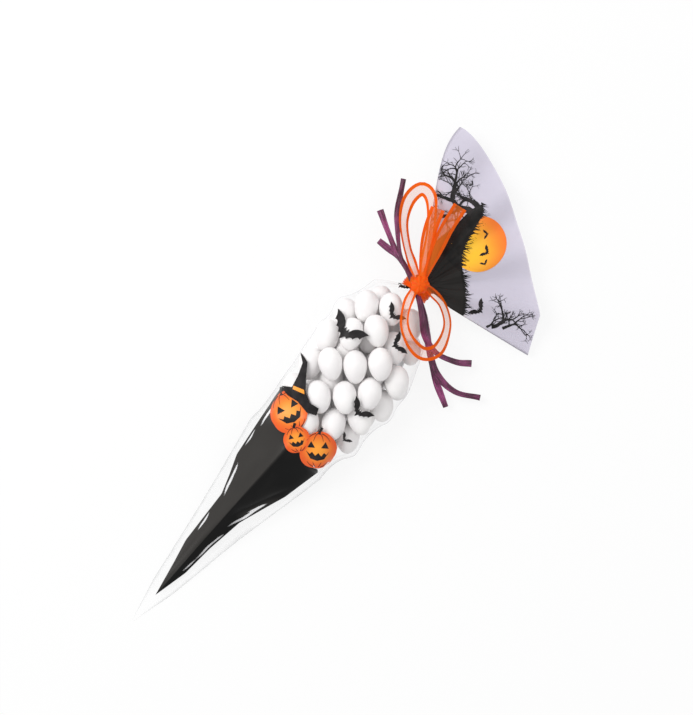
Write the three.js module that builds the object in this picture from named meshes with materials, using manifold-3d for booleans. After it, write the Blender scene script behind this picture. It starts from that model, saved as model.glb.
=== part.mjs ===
// A filled and tied cone bag: egg sweets in a cone of clear film that is gathered to a neck, tied
// with a ribbon bow over strands of raffia, and spread into a fan above the tie.
// Millimetres. The bag lies on its underside: +X runs from the tip to the mouth, and +Z is up. It is
// modelled from its tip, then moved so that the origin is under the widest place of the bulge.

import * as THREE from 'three';
import { mergeVertices } from 'three/addons/utils/BufferGeometryUtils.js';
import Module from 'manifold-3d';

// Clearances
const LOOSE = 0.35; // between any two pieces that touch

// Sweets
const SWEET_LENGTH = 21;
const SWEET_DIAMETER = 15;
const SWEET_BLUNTNESS = 0.1; // how much fuller one end is than the other
const SWEET_COUNT = 48;
const SWEET_TURN = 41.6; // degrees from the bag's length to the way most sweets point
const SWEET_SCATTER = 13; // degrees that a sweet may turn or tip from that

// Film, by stations along the bag from the tip
const WALL = 0.4;
const TIP_SEAL = 14; // the point is welded solid up to here
const SLACK_AT = 74;
const SLACK_WIDTH = 24;
const SLACK_HEIGHT = 9;
const FILL_FROM = 150; // the sweets begin here
const FILL_WIDTH = 54;
const FILL_HEIGHT = 29;
const BULGE_AT = 220;
const BULGE_WIDTH = 73;
const BULGE_HEIGHT = 42;
const FILL_TO = 262; // the room for the sweets ends here
const SHOULDER = 12; // from there back to where the film turns in to the neck
const SHOULDER_WIDTH = 50;
const SHOULDER_HEIGHT = 33;
const SEAM_WIDTH = 2.6; // welded side margins of the cone
const SEAM_AT_BULGE = 0.8;

// Neck
const TIE_SLACK = 10; // from the last sweet to the tie's band
const NECK_DIAMETER = 13;
const NECK_RISE = 20; // height of its middle over the table
const NECK_SIDE = 5; // sideways of the cone's axis
const NECK_PASSAGE = 2.4; // bore left through the gathered film
const NECK_PLEATS = 9;
const PLEAT_DEPTH = 0.7;

// Flare, the spread mouth above the tie
const FLARE_TURN = -25.4; // degrees that it bends sideways
const FLARE_REACH = 59; // from the tie straight to the mouth's line
const MOUTH_LEFT = 82; // along the mouth's line, from the flare's middle
const MOUTH_RIGHT = 45;
const MOUTH_BOW = 7; // how far the mouth's line curves outwards
const FLAP_LENGTH = 26; // folded corner at the right of the mouth
const FLAP_TURN = 39; // degrees that its edge turns back
const FLAP_DROP = 5;
const MOUTH_RISE = 10; // height of the mouth's middle over the table
const MOUTH_GAP = 9; // between its two layers
const FLARE_PLEATS = 4;
const FLARE_PLEAT_DEPTH = 3;

// Ribbon
const RIBBON_WIDTH = 9;
const RIBBON_THICKNESS = 0.5;
const RIBBON_TILT = 55; // degrees that a loop's band stands up from the table
const BAND_WIDTH = 4; // the ribbon is crushed to this round the neck
const KNOT_LENGTH = 12;
const KNOT_WIDTH = 10;
const KNOT_HEIGHT = 6;

// Raffia
const RAFFIA_WIDTH = 3.8;
const RAFFIA_THICKNESS = 0.6;
const RAFFIA_CUP = 0.7; // how far a strand's middle stands over its edges
const RAFFIA_PINCH = 0.6; // share of the width that is left under the tie
const RAFFIA_SPREAD = 0.8; // sideways step from one strand to the next

// Facets
const AROUND = 36;
const CONE_ROWS = 7;
const FILL_ROWS = 18;
const FLARE_ROWS = 7;
const SWEET_SIDES = 9;
const SWEET_STEPS = 6;

const RADIAN = Math.PI / 180;
const UP = new THREE.Vector3(0, 0, 1);

function smoothstep(from, to, value) {
  const share = THREE.MathUtils.clamp((value - from) / (to - from), 0, 1);
  return share * share * (3 - 2 * share);
}

// A smooth curve through a few stations, each given as a place and a value.
function profile(stations) {
  const slope = (a, b) => (stations[b][1] - stations[a][1]) / (stations[b][0] - stations[a][0]);
  const last = stations.length - 1;
  const slopes = stations.map((_, i) => slope(Math.max(i - 1, 0), Math.min(i + 1, last)));
  return (place) => {
    if (place <= stations[0][0]) return stations[0][1];
    if (place >= stations[last][0]) return stations[last][1];
    const i = stations.findIndex(([at]) => at > place) - 1;
    const [from, low] = stations[i];
    const [to, high] = stations[i + 1];
    const span = to - from;
    const t = (place - from) / span;
    const bend = t * (1 - t);
    const rise = low + (high - low) * t * t * (3 - 2 * t);
    return rise + bend * span * (slopes[i] * (1 - t) - slopes[i + 1] * t);
  };
}

// The room inside the film at one place along the bag: half its width, half its height, and the
// height of its middle. The film lies flat where this oval would reach under the table.
const OVAL_SHARE = 0.9; // of the oval's full height, what stands over the table

function roomAlong(neckAt) {
  const half = (height) => height / OVAL_SHARE / 2;
  const shoulderAt = neckAt - SHOULDER;
  const neck = NECK_DIAMETER / 2 - WALL;
  const width = profile([
    [0, WALL],
    [SLACK_AT, SLACK_WIDTH / 2],
    [FILL_FROM, FILL_WIDTH / 2],
    [BULGE_AT, BULGE_WIDTH / 2],
    [shoulderAt, SHOULDER_WIDTH / 2],
    [neckAt, neck],
  ]);
  const height = profile([
    [0, WALL],
    [SLACK_AT, half(SLACK_HEIGHT)],
    [FILL_FROM, half(FILL_HEIGHT)],
    [BULGE_AT, half(BULGE_HEIGHT)],
    [shoulderAt, half(SHOULDER_HEIGHT)],
    [neckAt, neck],
  ]);
  const middle = profile([
    [0, WALL],
    [SLACK_AT, SLACK_HEIGHT - half(SLACK_HEIGHT)],
    [FILL_FROM, FILL_HEIGHT - half(FILL_HEIGHT)],
    [BULGE_AT, BULGE_HEIGHT - half(BULGE_HEIGHT)],
    [shoulderAt, NECK_RISE],
    [neckAt, NECK_RISE],
  ]);
  const side = (place) => NECK_SIDE * smoothstep(BULGE_AT, neckAt, place);
  return (place) => ({
    width: width(place),
    height: height(place),
    middle: middle(place),
    side: side(place),
  });
}

// Sweets

const sweetProfile = Array.from({ length: SWEET_STEPS + 1 }, (_, step) => {
  const turn = (Math.PI * step) / SWEET_STEPS;
  const radius = (SWEET_DIAMETER / 2) * Math.sin(turn) * (1 - SWEET_BLUNTNESS * Math.cos(turn));
  return new THREE.Vector2(Math.abs(radius) < 1e-9 ? 0 : radius, (-SWEET_LENGTH / 2) * Math.cos(turn));
});

// How far a sweet reaches from its centre in one direction.
function reach(sweet, direction) {
  const along = direction.dot(sweet.axis);
  const across = Math.sqrt(Math.max(0, 1 - along * along));
  let most = 0;
  for (const point of sweetProfile) most = Math.max(most, along * point.y + across * point.x);
  return most;
}

const probe = new THREE.Vector3();

function clearAlong(a, b, offset, direction) {
  return offset.dot(direction) - reach(a, direction) - reach(b, probe.copy(direction).negate());
}

// The widest flat gap between two sweets, and the direction across it.
const PROBE_TILTS = [0.32, 0.16, 0.08, 0.04];

function gapBetween(a, b) {
  const offset = b.centre.clone().sub(a.centre);
  let across = offset.clone().normalize();
  let gap = clearAlong(a, b, offset, across);
  for (const tilt of PROBE_TILTS) {
    const first = new THREE.Vector3(-across.y, across.x, 0.3).cross(across).normalize();
    const second = first.clone().cross(across);
    for (const way of [first, second, first.clone().negate(), second.clone().negate()]) {
      const tried = across.clone().addScaledVector(way, tilt).normalize();
      const found = clearAlong(a, b, offset, tried);
      if (found > gap) {
        gap = found;
        across = tried;
      }
    }
  }
  return { gap, across };
}

// A repeatable run of numbers between -1 and 1.
function scatterFrom(seed) {
  let state = seed;
  return () => {
    state = (state * 16807) % 2147483647;
    return (state / 2147483647) * 2 - 1;
  };
}

// Starting places: the closest packing of like eggs that all point one way, cut to the room.
const PACKED_TURN = -1.22 * SWEET_TURN * RADIAN; // from the sweets' way to a row of the packing
const PACKED_HEIGHT = SWEET_DIAMETER / 2.6; // what a layer's outer sweets keep of the room's height

function packedSites(room) {
  const spacing = SWEET_DIAMETER + LOOSE;
  const stretch = SWEET_LENGTH / SWEET_DIAMETER;
  const layerRise = spacing * Math.sqrt(2 / 3);
  const firstWay = PACKED_TURN;
  const middleAt = (FILL_FROM + FILL_TO) / 2;
  const halfLength = (FILL_TO - FILL_FROM) / 2;
  const turn = SWEET_TURN * RADIAN;
  const sites = [];
  const place = (i, j, layer) => {
    const shift = layer === 0 ? 1 / 3 : 0;
    const one = i + shift;
    const two = j + shift;
    const u = spacing * (one * Math.cos(firstWay) + two * Math.cos(firstWay + Math.PI / 1.5)) * stretch;
    const v = spacing * (one * Math.sin(firstWay) + two * Math.sin(firstWay + Math.PI / 1.5));
    const x = middleAt + u * Math.cos(turn) - v * Math.sin(turn);
    const y = u * Math.sin(turn) + v * Math.cos(turn);
    const here = room(x);
    const z = room(BULGE_AT).middle + layer * layerRise;
    const inWidth = (y - here.side) / Math.max(here.width - SWEET_DIAMETER / 2, 1);
    const inHeight = (z - here.middle) / Math.max(here.height - PACKED_HEIGHT, 1);
    const inLength = (x - middleAt) / (halfLength - SWEET_DIAMETER / 2);
    const depth = Math.hypot(inWidth, inHeight) + inLength ** 8;
    sites.push({ centre: new THREE.Vector3(x, y, z), depth });
  };
  for (let layer = -1; layer <= 1; layer += 1) {
    for (let i = -12; i <= 12; i += 1) for (let j = -12; j <= 12; j += 1) place(i, j, layer);
  }
  return sites.sort((a, b) => a.depth - b.depth).slice(0, SWEET_COUNT);
}

const PRESS_STEPS = 260;
const PRESS = 0.012;
const MOST_STEPS = 1500;

// Sweets that have run together to a pile: pressed into the room, then eased apart to rest.
function settledSweets() {
  const room = roomAlong(FILL_TO);
  const scatter = scatterFrom(20231);
  const heart = new THREE.Vector3((FILL_FROM + FILL_TO) / 2, 0, room(BULGE_AT).middle);
  const sweets = packedSites(room).map(({ centre }) => {
    const turn = (SWEET_TURN + SWEET_SCATTER * scatter()) * RADIAN;
    const tip = SWEET_SCATTER * scatter() * RADIAN;
    const axis = new THREE.Vector3(
      Math.cos(turn) * Math.cos(tip),
      Math.sin(turn) * Math.cos(tip),
      Math.sin(tip),
    );
    return { centre: centre.clone(), axis };
  });
  const lowest = WALL + LOOSE;
  for (let step = 0; step < MOST_STEPS; step += 1) {
    let moved = 0;
    if (step < PRESS_STEPS) {
      for (const sweet of sweets) {
        sweet.centre.lerp(heart, PRESS * (1 - step / PRESS_STEPS));
        keepInRoom(sweet, room);
      }
    }
    for (let i = 0; i < sweets.length; i += 1) {
      for (let j = i + 1; j < sweets.length; j += 1) {
        if (sweets[i].centre.distanceTo(sweets[j].centre) > SWEET_LENGTH + LOOSE) continue;
        const { gap, across } = gapBetween(sweets[i], sweets[j]);
        const short = LOOSE - gap;
        if (short <= 0) continue;
        const push = short / 2 + 0.002;
        sweets[i].centre.addScaledVector(across, -push);
        sweets[j].centre.addScaledVector(across, push);
        moved = Math.max(moved, short);
      }
    }
    for (const sweet of sweets) {
      const sunk = lowest + reach(sweet, new THREE.Vector3(0, 0, -1)) - sweet.centre.z;
      if (sunk > 0) {
        sweet.centre.z += sunk;
        moved = Math.max(moved, sunk);
      }
    }
    if (step > PRESS_STEPS && moved === 0) break;
  }
  return sweets.sort((a, b) => a.centre.x - b.centre.x);
}

function keepInRoom(sweet, room) {
  const here = room(sweet.centre.x);
  const wide = Math.max(here.width - reach(sweet, new THREE.Vector3(0, 1, 0)), 1);
  const high = Math.max(here.height - reach(sweet, UP), 1);
  const inWidth = (sweet.centre.y - here.side) / wide;
  const inHeight = (sweet.centre.z - here.middle) / high;
  const out = Math.hypot(inWidth, inHeight);
  if (out > 1) {
    sweet.centre.y = here.side + (inWidth / out) * wide;
    sweet.centre.z = here.middle + (inHeight / out) * high;
  }
  const long = reach(sweet, new THREE.Vector3(1, 0, 0));
  sweet.centre.x = THREE.MathUtils.clamp(sweet.centre.x, FILL_FROM + long, FILL_TO - long);
}

const sweetFinish = { color: 0xe9e6e8, roughness: 0.42, metalness: 0 };

function sweetMesh(sweet, number) {
  const geometry = new THREE.LatheGeometry(sweetProfile, SWEET_SIDES);
  const mesh = new THREE.Mesh(geometry, new THREE.MeshStandardMaterial(sweetFinish));
  mesh.name = `sweet_${String(number + 1).padStart(2, '0')}`;
  mesh.quaternion.setFromUnitVectors(new THREE.Vector3(0, 1, 0), sweet.axis);
  mesh.position.copy(sweet.centre);
  return mesh;
}

// Points all over a sweet, as seen by the film that wraps it.
function surfacePoints(sweet) {
  const points = [];
  const turnTo = new THREE.Quaternion().setFromUnitVectors(new THREE.Vector3(0, 1, 0), sweet.axis);
  for (let ring = 0; ring < sweetProfile.length - 1; ring += 1) {
    for (let part = 0; part < 3; part += 1) {
      const at = sweetProfile[ring].clone().lerp(sweetProfile[ring + 1], part / 3);
      for (let side = 0; side < 24; side += 1) {
        const turn = (side / 24) * 2 * Math.PI;
        const point = new THREE.Vector3(at.x * Math.cos(turn), at.y, at.x * Math.sin(turn));
        points.push(point.applyQuaternion(turnTo).add(sweet.centre));
      }
    }
  }
  return points;
}

// Film

// Places of the film's rows along the bag: the cone, the pile of sweets and the neck.
function rowPlaces(pileEnd, neckAt) {
  const cone = Array.from({ length: CONE_ROWS }, (_, i) => (
    TIP_SEAL + ((FILL_FROM - TIP_SEAL) * i) / CONE_ROWS
  ));
  const filled = Array.from({ length: FILL_ROWS + 1 }, (_, i) => (
    FILL_FROM + ((pileEnd - FILL_FROM) * i) / FILL_ROWS
  ));
  return [...cone, ...filled, neckAt];
}

const angles = Array.from({ length: AROUND }, (_, j) => (2 * Math.PI * j) / AROUND);

// How far out the film stands at each row and angle, as a share of the room: drawn in by its own
// tension, and held out by the sweets.
const TENSION_STEPS = 9;

function drawnFilm(places, room, sweets) {
  const rooms = places.map(room);
  const held = places.map(() => new Array(AROUND).fill(0));
  const facet = 1 / Math.cos(Math.PI / AROUND);
  for (const sweet of sweets) {
    for (const point of surfacePoints(sweet)) {
      const next = places.findIndex((at) => at > point.x);
      if (next < 1) continue;
      for (const row of [next - 1, next]) {
        const { width, height, middle, side } = rooms[row];
        const y = (point.y - side) / width;
        const z = (point.z - middle) / height;
        const turn = (Math.atan2(z, y) + 2 * Math.PI) % (2 * Math.PI);
        const spare = LOOSE * Math.hypot(Math.cos(turn) / width, Math.sin(turn) / height);
        const out = (Math.hypot(y, z) + spare) * facet;
        const column = Math.floor((turn / (2 * Math.PI)) * AROUND) % AROUND;
        for (const at of [column, (column + 1) % AROUND]) held[row][at] = Math.max(held[row][at], out);
      }
    }
  }
  const chord = Math.cos((2 * Math.PI) / AROUND);
  let out = held.map((row) => row.map((share) => Math.max(1, share)));
  for (let step = 0; step < TENSION_STEPS; step += 1) {
    out = out.map((row, i) => row.map((share, j) => {
      if (places[i] < FILL_FROM || i === places.length - 1) return share;
      const { height, middle } = rooms[i];
      const onTable = middle + height * Math.sin(angles[j]) <= WALL;
      const beside = (row[(j + 1) % AROUND] + row[(j + AROUND - 1) % AROUND]) / 2;
      const along = (out[i - 1][j] + out[i + 1][j]) / 2;
      const drawn = (beside * chord + along) / 2;
      return Math.max(held[i][j], onTable ? share : drawn);
    }));
  }
  return out;
}

function pleat(turn, depth) {
  return depth * Math.cos(NECK_PLEATS * turn);
}

// Rows of the film's inner face from the tip to the neck.
function coneRows(places, room, sweets) {
  const out = drawnFilm(places, room, sweets);
  const neckAt = places[places.length - 1];
  return places.map((x, i) => angles.map((turn, j) => {
    const { width, height, middle, side } = room(x);
    const fold = pleat(turn, PLEAT_DEPTH * smoothstep(neckAt - SHOULDER, neckAt, x));
    const y = side + (width * out[i][j] + fold) * Math.cos(turn);
    const z = middle + (height * out[i][j] + fold) * Math.sin(turn);
    return new THREE.Vector3(x, y, z);
  })).map(laidOnTable);
}

// A row of the film cut off flat where it would reach under the table's film.
function laidOnTable(row) {
  return row.map((point, j) => {
    if (point.z >= WALL) return point;
    const neighbours = [row[(j + 1) % row.length], row[(j + row.length - 1) % row.length]];
    const above = neighbours.find((other) => other.z > WALL);
    if (!above) return point.clone().setZ(WALL);
    return point.clone().lerp(above, (WALL - point.z) / (above.z - point.z)).setZ(WALL);
  });
}

// The mouth's edge seen from above, as distances out from the tie and sideways, from the left
// corner (0) over the fold (foldAt) to the corner of the flap (1).
const mouthLine = MOUTH_LEFT + MOUTH_RIGHT;
const foldAt = mouthLine / (mouthLine + FLAP_LENGTH);

function mouthEdge(share) {
  if (share <= foldAt) {
    const along = share / foldAt;
    return {
      out: FLARE_REACH + MOUTH_BOW * 4 * along * (1 - along),
      side: MOUTH_LEFT - mouthLine * along,
    };
  }
  const along = ((share - foldAt) / (1 - foldAt)) * FLAP_LENGTH;
  return {
    out: FLARE_REACH - along * Math.sin(FLAP_TURN * RADIAN),
    side: -MOUTH_RIGHT - along * Math.cos(FLAP_TURN * RADIAN),
  };
}

const FLARE_BLEND = 0.3; // share of the flare over which the round neck becomes flat

function flareRow(share, tie) {
  const turnOut = FLARE_TURN * RADIAN;
  const rise = NECK_RISE + (MOUTH_RISE - NECK_RISE) * smoothstep(0, 1, share);
  const flat = smoothstep(0, FLARE_BLEND, share);
  const neck = NECK_DIAMETER / 2 - WALL;
  return angles.map((turn) => {
    const upper = turn <= Math.PI;
    const across = upper ? turn / Math.PI : 2 - turn / Math.PI;
    const edge = mouthEdge(across);
    const wave = FLARE_PLEAT_DEPTH * share ** 0.8 * Math.sin(2 * Math.PI * FLARE_PLEATS * across);
    const gap = (MOUTH_GAP / 2) * share * Math.sin(Math.PI * across) ** 0.6;
    const flap = Math.max(0, (across - foldAt) / (1 - foldAt));
    const spread = new THREE.Vector3(
      edge.out * share,
      edge.side * share,
      rise + (upper ? gap : -gap) + wave * Math.sin(Math.PI * across) ** 0.5 - FLAP_DROP * flap * share,
    );
    const round = neck + pleat(turn, PLEAT_DEPTH);
    const gathered = new THREE.Vector3(
      FLARE_REACH * share,
      round * Math.cos(turn),
      rise + round * Math.sin(turn),
    );
    const point = gathered.lerp(spread, flat);
    point.applyAxisAngle(UP, turnOut);
    return new THREE.Vector3(tie.x + point.x, tie.y + point.y, Math.max(point.z, WALL));
  });
}

function indexedGeometry(points, triangles) {
  const geometry = new THREE.BufferGeometry();
  const numbers = points.flatMap((point) => [point.x, point.y, point.z]);
  geometry.setAttribute('position', new THREE.Float32BufferAttribute(numbers, 3));
  geometry.setIndex(triangles);
  return geometry;
}

// Two triangles for each cell between neighbouring rings of vertices.
function ringStrips(rings, flip) {
  const triangles = [];
  for (let i = 0; i < rings.length - 1; i += 1) {
    const near = rings[i];
    const far = rings[i + 1];
    near.forEach((a, j) => {
      const b = near[(j + 1) % near.length];
      const c = far[(j + 1) % far.length];
      const d = far[j];
      const cell = [a, b, c, a, c, d];
      triangles.push(...(flip ? cell.reverse() : cell));
    });
  }
  return triangles;
}

function ringFan(tip, ring, flip) {
  return ring.flatMap((a, j) => {
    const b = ring[(j + 1) % ring.length];
    return flip ? [tip, a, b] : [tip, b, a];
  });
}

function outwardNormals(rows) {
  const rings = rows.map((row, i) => row.map((_, j) => i * AROUND + j));
  const geometry = indexedGeometry(rows.flat(), ringStrips(rings, false));
  geometry.computeVertexNormals();
  const normals = geometry.getAttribute('normal');
  return rows.map((row, i) => row.map((_, j) => (
    new THREE.Vector3().fromBufferAttribute(normals, i * AROUND + j)
  )));
}

const filmFinish = { color: 0xd7d2e1, roughness: 0.12, metalness: 0, transparent: true, opacity: 0.35 };

// The film as one thin wall: inner rows, the same rows pushed out by the wall and the welded
// side margins, a closed point and an open mouth. What lies on the table is flat.
function bagFilm(sweets) {
  const forward = new THREE.Vector3(1, 0, 0);
  const lastSweet = Math.max(...sweets.map((sweet) => sweet.centre.x + reach(sweet, forward)));
  const pileEnd = lastSweet + LOOSE;
  const collarLength = BAND_WIDTH + 4 * LOOSE;
  const tie = new THREE.Vector3(pileEnd + TIE_SLACK, NECK_SIDE, NECK_RISE);
  const neckAt = tie.x - collarLength / 2;
  const room = roomAlong(neckAt);
  const places = rowPlaces(pileEnd, neckAt);
  const inner = coneRows(places, room, sweets);
  const collar = places.length - 1;
  inner.push(inner[collar].map((point) => point.clone().setX(neckAt + collarLength)));
  const flareFrom = (1.6 * collarLength) / FLARE_REACH;
  for (let row = 0; row < FLARE_ROWS; row += 1) {
    inner.push(flareRow(flareFrom + ((1 - flareFrom) * row) / (FLARE_ROWS - 1), tie));
  }
  const normals = outwardNormals(inner);
  const outer = inner.map((row, i) => row.map((point, j) => {
    const pushed = point.clone().addScaledVector(normals[i][j], WALL);
    if (point.z <= WALL || pushed.z < 0) pushed.z = 0;
    const seam = THREE.MathUtils.lerp(SEAM_WIDTH, SEAM_AT_BULGE, smoothstep(FILL_FROM, BULGE_AT, point.x));
    const welded = i > 0 && i < collar - 1 ? seam : 0;
    if (j === 0) pushed.y += welded;
    if (j === AROUND / 2) pushed.y -= welded;
    return pushed;
  }));
  const passage = (point, row) => {
    const middle = row.reduce((sum, at) => sum.add(at), new THREE.Vector3()).divideScalar(row.length);
    return point.clone().sub(middle).setLength(NECK_PASSAGE / 2).add(middle);
  };
  for (const row of [collar, collar + 1]) {
    inner[row] = inner[row].map((point) => passage(point, inner[row]));
  }
  const points = [new THREE.Vector3(0, 0, WALL)];
  const addRing = (row) => row.map((point) => points.push(point) - 1);
  const outerRings = outer.map(addRing);
  const innerTip = points.push(new THREE.Vector3(TIP_SEAL + 1, 0, inner[0][0].z)) - 1;
  const innerRings = inner.slice(1).map(addRing);
  const last = outerRings.length - 1;
  const triangles = [
    ...ringFan(0, outerRings[0], false),
    ...ringStrips(outerRings, false),
    ...ringFan(innerTip, innerRings[0], true),
    ...ringStrips(innerRings, true),
    ...ringStrips([outerRings[last], innerRings[last - 1]], false),
  ];
  const geometry = indexedGeometry(points, triangles);
  const mesh = new THREE.Mesh(geometry, new THREE.MeshStandardMaterial(filmFinish));
  mesh.name = 'bag_film';
  return { mesh, tie };
}

// Strips: ribbon and raffia

// Height of the highest face over a place on the table, of the pieces laid so far.
function heightOver(meshes) {
  const faces = meshes.flatMap((mesh) => {
    const position = mesh.geometry.getAttribute('position');
    const index = mesh.geometry.getIndex();
    const corner = (k) => new THREE.Vector3().fromBufferAttribute(position, index ? index.getX(k) : k);
    const count = index ? index.count : position.count;
    return Array.from({ length: count / 3 }, (_, face) => [0, 1, 2].map((k) => corner(face * 3 + k)));
  });
  return (x, y) => {
    let top = 0;
    for (const [a, b, c] of faces) {
      const area = (b.x - a.x) * (c.y - a.y) - (c.x - a.x) * (b.y - a.y);
      if (Math.abs(area) < 1e-9) continue;
      const v = ((x - a.x) * (c.y - a.y) - (c.x - a.x) * (y - a.y)) / area;
      const w = ((b.x - a.x) * (y - a.y) - (x - a.x) * (b.y - a.y)) / area;
      if (v < 0 || w < 0 || v + w > 1) continue;
      top = Math.max(top, a.z + v * (b.z - a.z) + w * (c.z - a.z));
    }
    return top;
  };
}

// A closed solid from like rows of points: stations of a strip, with a cap at either end. A cap fans
// out from the section's second corner, which faces all the others.
function stripGeometry(rows, closed = false) {
  const size = rows[0].length;
  const rings = rows.map((row, i) => row.map((_, j) => i * size + j));
  const joined = closed ? [...rings, rings[0]] : rings;
  const triangles = ringStrips(joined, false);
  if (!closed) {
    const cap = (ring, flip) => {
      for (let step = 1; step < size - 1; step += 1) {
        const near = ring[(1 + step) % size];
        const far = ring[(2 + step) % size];
        triangles.push(...(flip ? [ring[1], far, near] : [ring[1], near, far]));
      }
    };
    cap(rings[0], true);
    cap(rings[rings.length - 1], false);
  }
  return indexedGeometry(rows.flat(), triangles);
}

// Heights for a strip that lies over what is under it, drawn level between the high places.
// A pinned station is held down on what is under it.
const LAY_STEPS = 30;

function laidHeights(needed, wished, pinned) {
  let heights = wished.map((height, i) => Math.max(pinned(i) ? 0 : height, needed[i]));
  for (let step = 0; step < LAY_STEPS; step += 1) {
    heights = heights.map((height, i) => {
      if (i === 0 || i === heights.length - 1 || pinned(i)) return height;
      return Math.max(needed[i], (heights[i - 1] + 2 * height + heights[i + 1]) / 4);
    });
  }
  return heights;
}

// Stations of a strip along a route seen from above. The width is given along the route, and the
// tilt turns the strip's face from lying flat to standing on its edge.
function layStrip({ route, steps, widthAt, tiltAt, wishAt, section, over, pinnedFor = () => false }) {
  const curve = new THREE.CatmullRomCurve3(route.map(([x, y]) => new THREE.Vector3(x, y, 0)));
  const shares = Array.from({ length: steps + 1 }, (_, i) => i / steps);
  const centres = shares.map((share) => curve.getPointAt(share));
  const ways = shares.map((share) => curve.getTangentAt(share).normalize());
  const sides = ways.map((way) => new THREE.Vector3(-way.y, way.x, 0));
  const spacing = curve.getLength() / steps;
  const needed = shares.map((share, i) => {
    const flat = (widthAt(share) / 2) * Math.cos(tiltAt(share));
    const stood = (widthAt(share) / 2) * Math.abs(Math.sin(tiltAt(share)));
    const tops = [];
    for (const along of [-1, -0.5, 0, 0.5, 1]) {
      for (const across of [-1, -0.5, 0, 0.5, 1]) {
        const at = centres[i].clone().addScaledVector(sides[i], across * flat);
        at.addScaledVector(ways[i], (along * spacing) / 2);
        tops.push(over(at.x, at.y));
      }
    }
    return Math.max(...tops) + stood;
  });
  const heights = laidHeights(needed, shares.map(wishAt), (i) => pinnedFor(centres[i]));
  return centres.map((centre, i) => {
    const tilt = tiltAt(shares[i]);
    const across = sides[i].clone().multiplyScalar(Math.cos(tilt)).addScaledVector(UP, Math.sin(tilt));
    const face = across.clone().cross(ways[i]).normalize();
    const middle = centre.clone().setZ(heights[i]);
    return section(widthAt(shares[i])).map(([u, v]) => (
      middle.clone().addScaledVector(across, u).addScaledVector(face, -v)
    ));
  });
}

const raffiaFinish = { color: 0x641e4b, roughness: 0.45, metalness: 0 };

// Each strand's route from above, as steps along and across the bag from the tie.
const raffiaRoutes = [
  [[6.6, 38.2], [6.9, 30], [7.2, 22], [4.2, 12], [0.5, 4], [-4, -5], [-10, -14], [-21, -27], [-33, -43],
    [-42.8, -61.8]],
  [[21.4, 49.3], [14, 36], [8.2, 24], [4.2, 12], [0.5, 4], [-4, -5], [-10, -14], [-21, -28], [-31, -44],
    [-32, -60], [-24.3, -74.7]],
  [[45.5, 50.5], [27, 39], [10.5, 23], [4.2, 12], [0.5, 4], [-4, -5], [-11, -14], [-19, -24], [-22, -36],
    [-18, -49], [-11.9, -57.4]],
];
const RAFFIA_TAIL_RISE = 13; // height of the ends beside the flare
const RAFFIA_END_RISE = 5; // height of the ends beside the bulge

function raffiaStrand(number, tie, laid) {
  const shift = (number - 1) * RAFFIA_SPREAD;
  const route = raffiaRoutes[number].map(([x, y]) => [tie.x + x, tie.y + y + shift]);
  const pinched = (share) => 1 - (1 - RAFFIA_PINCH) * (1 - smoothstep(0.03, 0.2, Math.abs(share - 0.37)));
  const over = heightOver(laid);
  const rows = layStrip({
    route,
    steps: 28,
    widthAt: (share) => RAFFIA_WIDTH * pinched(share),
    tiltAt: () => 0,
    wishAt: (share) => THREE.MathUtils.lerp(RAFFIA_TAIL_RISE, RAFFIA_END_RISE, share),
    pinnedFor: (centre) => (
      Math.abs(centre.x - tie.x) < BAND_WIDTH && Math.abs(centre.y - tie.y) < NECK_DIAMETER
    ),
    over: (x, y) => over(x, y) + LOOSE + RAFFIA_THICKNESS / 2,
    section: (width) => [
      [-width / 2, -RAFFIA_THICKNESS / 2],
      [0, (RAFFIA_CUP * width) / RAFFIA_WIDTH - RAFFIA_THICKNESS / 2],
      [width / 2, -RAFFIA_THICKNESS / 2],
      [width / 2, RAFFIA_THICKNESS / 2],
      [0, (RAFFIA_CUP * width) / RAFFIA_WIDTH + RAFFIA_THICKNESS / 2],
      [-width / 2, RAFFIA_THICKNESS / 2],
    ],
  });
  const mesh = new THREE.Mesh(stripGeometry(rows), new THREE.MeshStandardMaterial(raffiaFinish));
  mesh.name = `raffia_strand_${number + 1}`;
  return mesh;
}

const ribbonFinish = { color: 0xff5a14, roughness: 0.4, metalness: 0, transparent: true, opacity: 0.6 };

const flatSection = (width) => [
  [-width / 2, -RIBBON_THICKNESS / 2],
  [width / 2, -RIBBON_THICKNESS / 2],
  [width / 2, RIBBON_THICKNESS / 2],
  [-width / 2, RIBBON_THICKNESS / 2],
];

// Routes of the ribbon's loops and tails from above, as steps along and across the bag from the tie.
const upperLoop = [[4, 3], [9, 12], [16, 23], [26, 34], [38, 40], [48, 38.5], [47, 30], [33, 18], [18, 9],
  [6, 1.5]];
const lowerLoop = [[0, 1.5], [-12, -2], [-22.5, -9], [-28, -20], [-27.5, -30], [-19, -34.5], [-5, -29.5],
  [2.5, -19], [4, -8], [3.5, -1]];
const tails = [
  [[5, 0.5], [20, 5], [38, 10.5], [55, 13.5]],
  [[5, 1.5], [18, 10], [32, 18], [45, 23]],
];

function ribbonLoop(route, tie, over, knotRise) {
  const opened = (share) => smoothstep(0, 0.16, Math.min(share, 1 - share));
  return layStrip({
    route: route.map(([x, y]) => [tie.x + x, tie.y + y]),
    steps: 22,
    widthAt: (share) => BAND_WIDTH + (RIBBON_WIDTH - BAND_WIDTH) * opened(share),
    tiltAt: (share) => RIBBON_TILT * RADIAN * opened(share),
    wishAt: (share) => knotRise * (1 - opened(share)),
    over,
    section: flatSection,
  });
}

function ribbonTail(route, tie, over, rise) {
  return layStrip({
    route: route.map(([x, y]) => [tie.x + x, tie.y + y]),
    steps: 8,
    widthAt: (share) => BAND_WIDTH + (RIBBON_WIDTH - BAND_WIDTH) * smoothstep(0, 0.6, share),
    tiltAt: () => 0,
    wishAt: () => rise,
    over,
    section: flatSection,
  });
}

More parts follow.
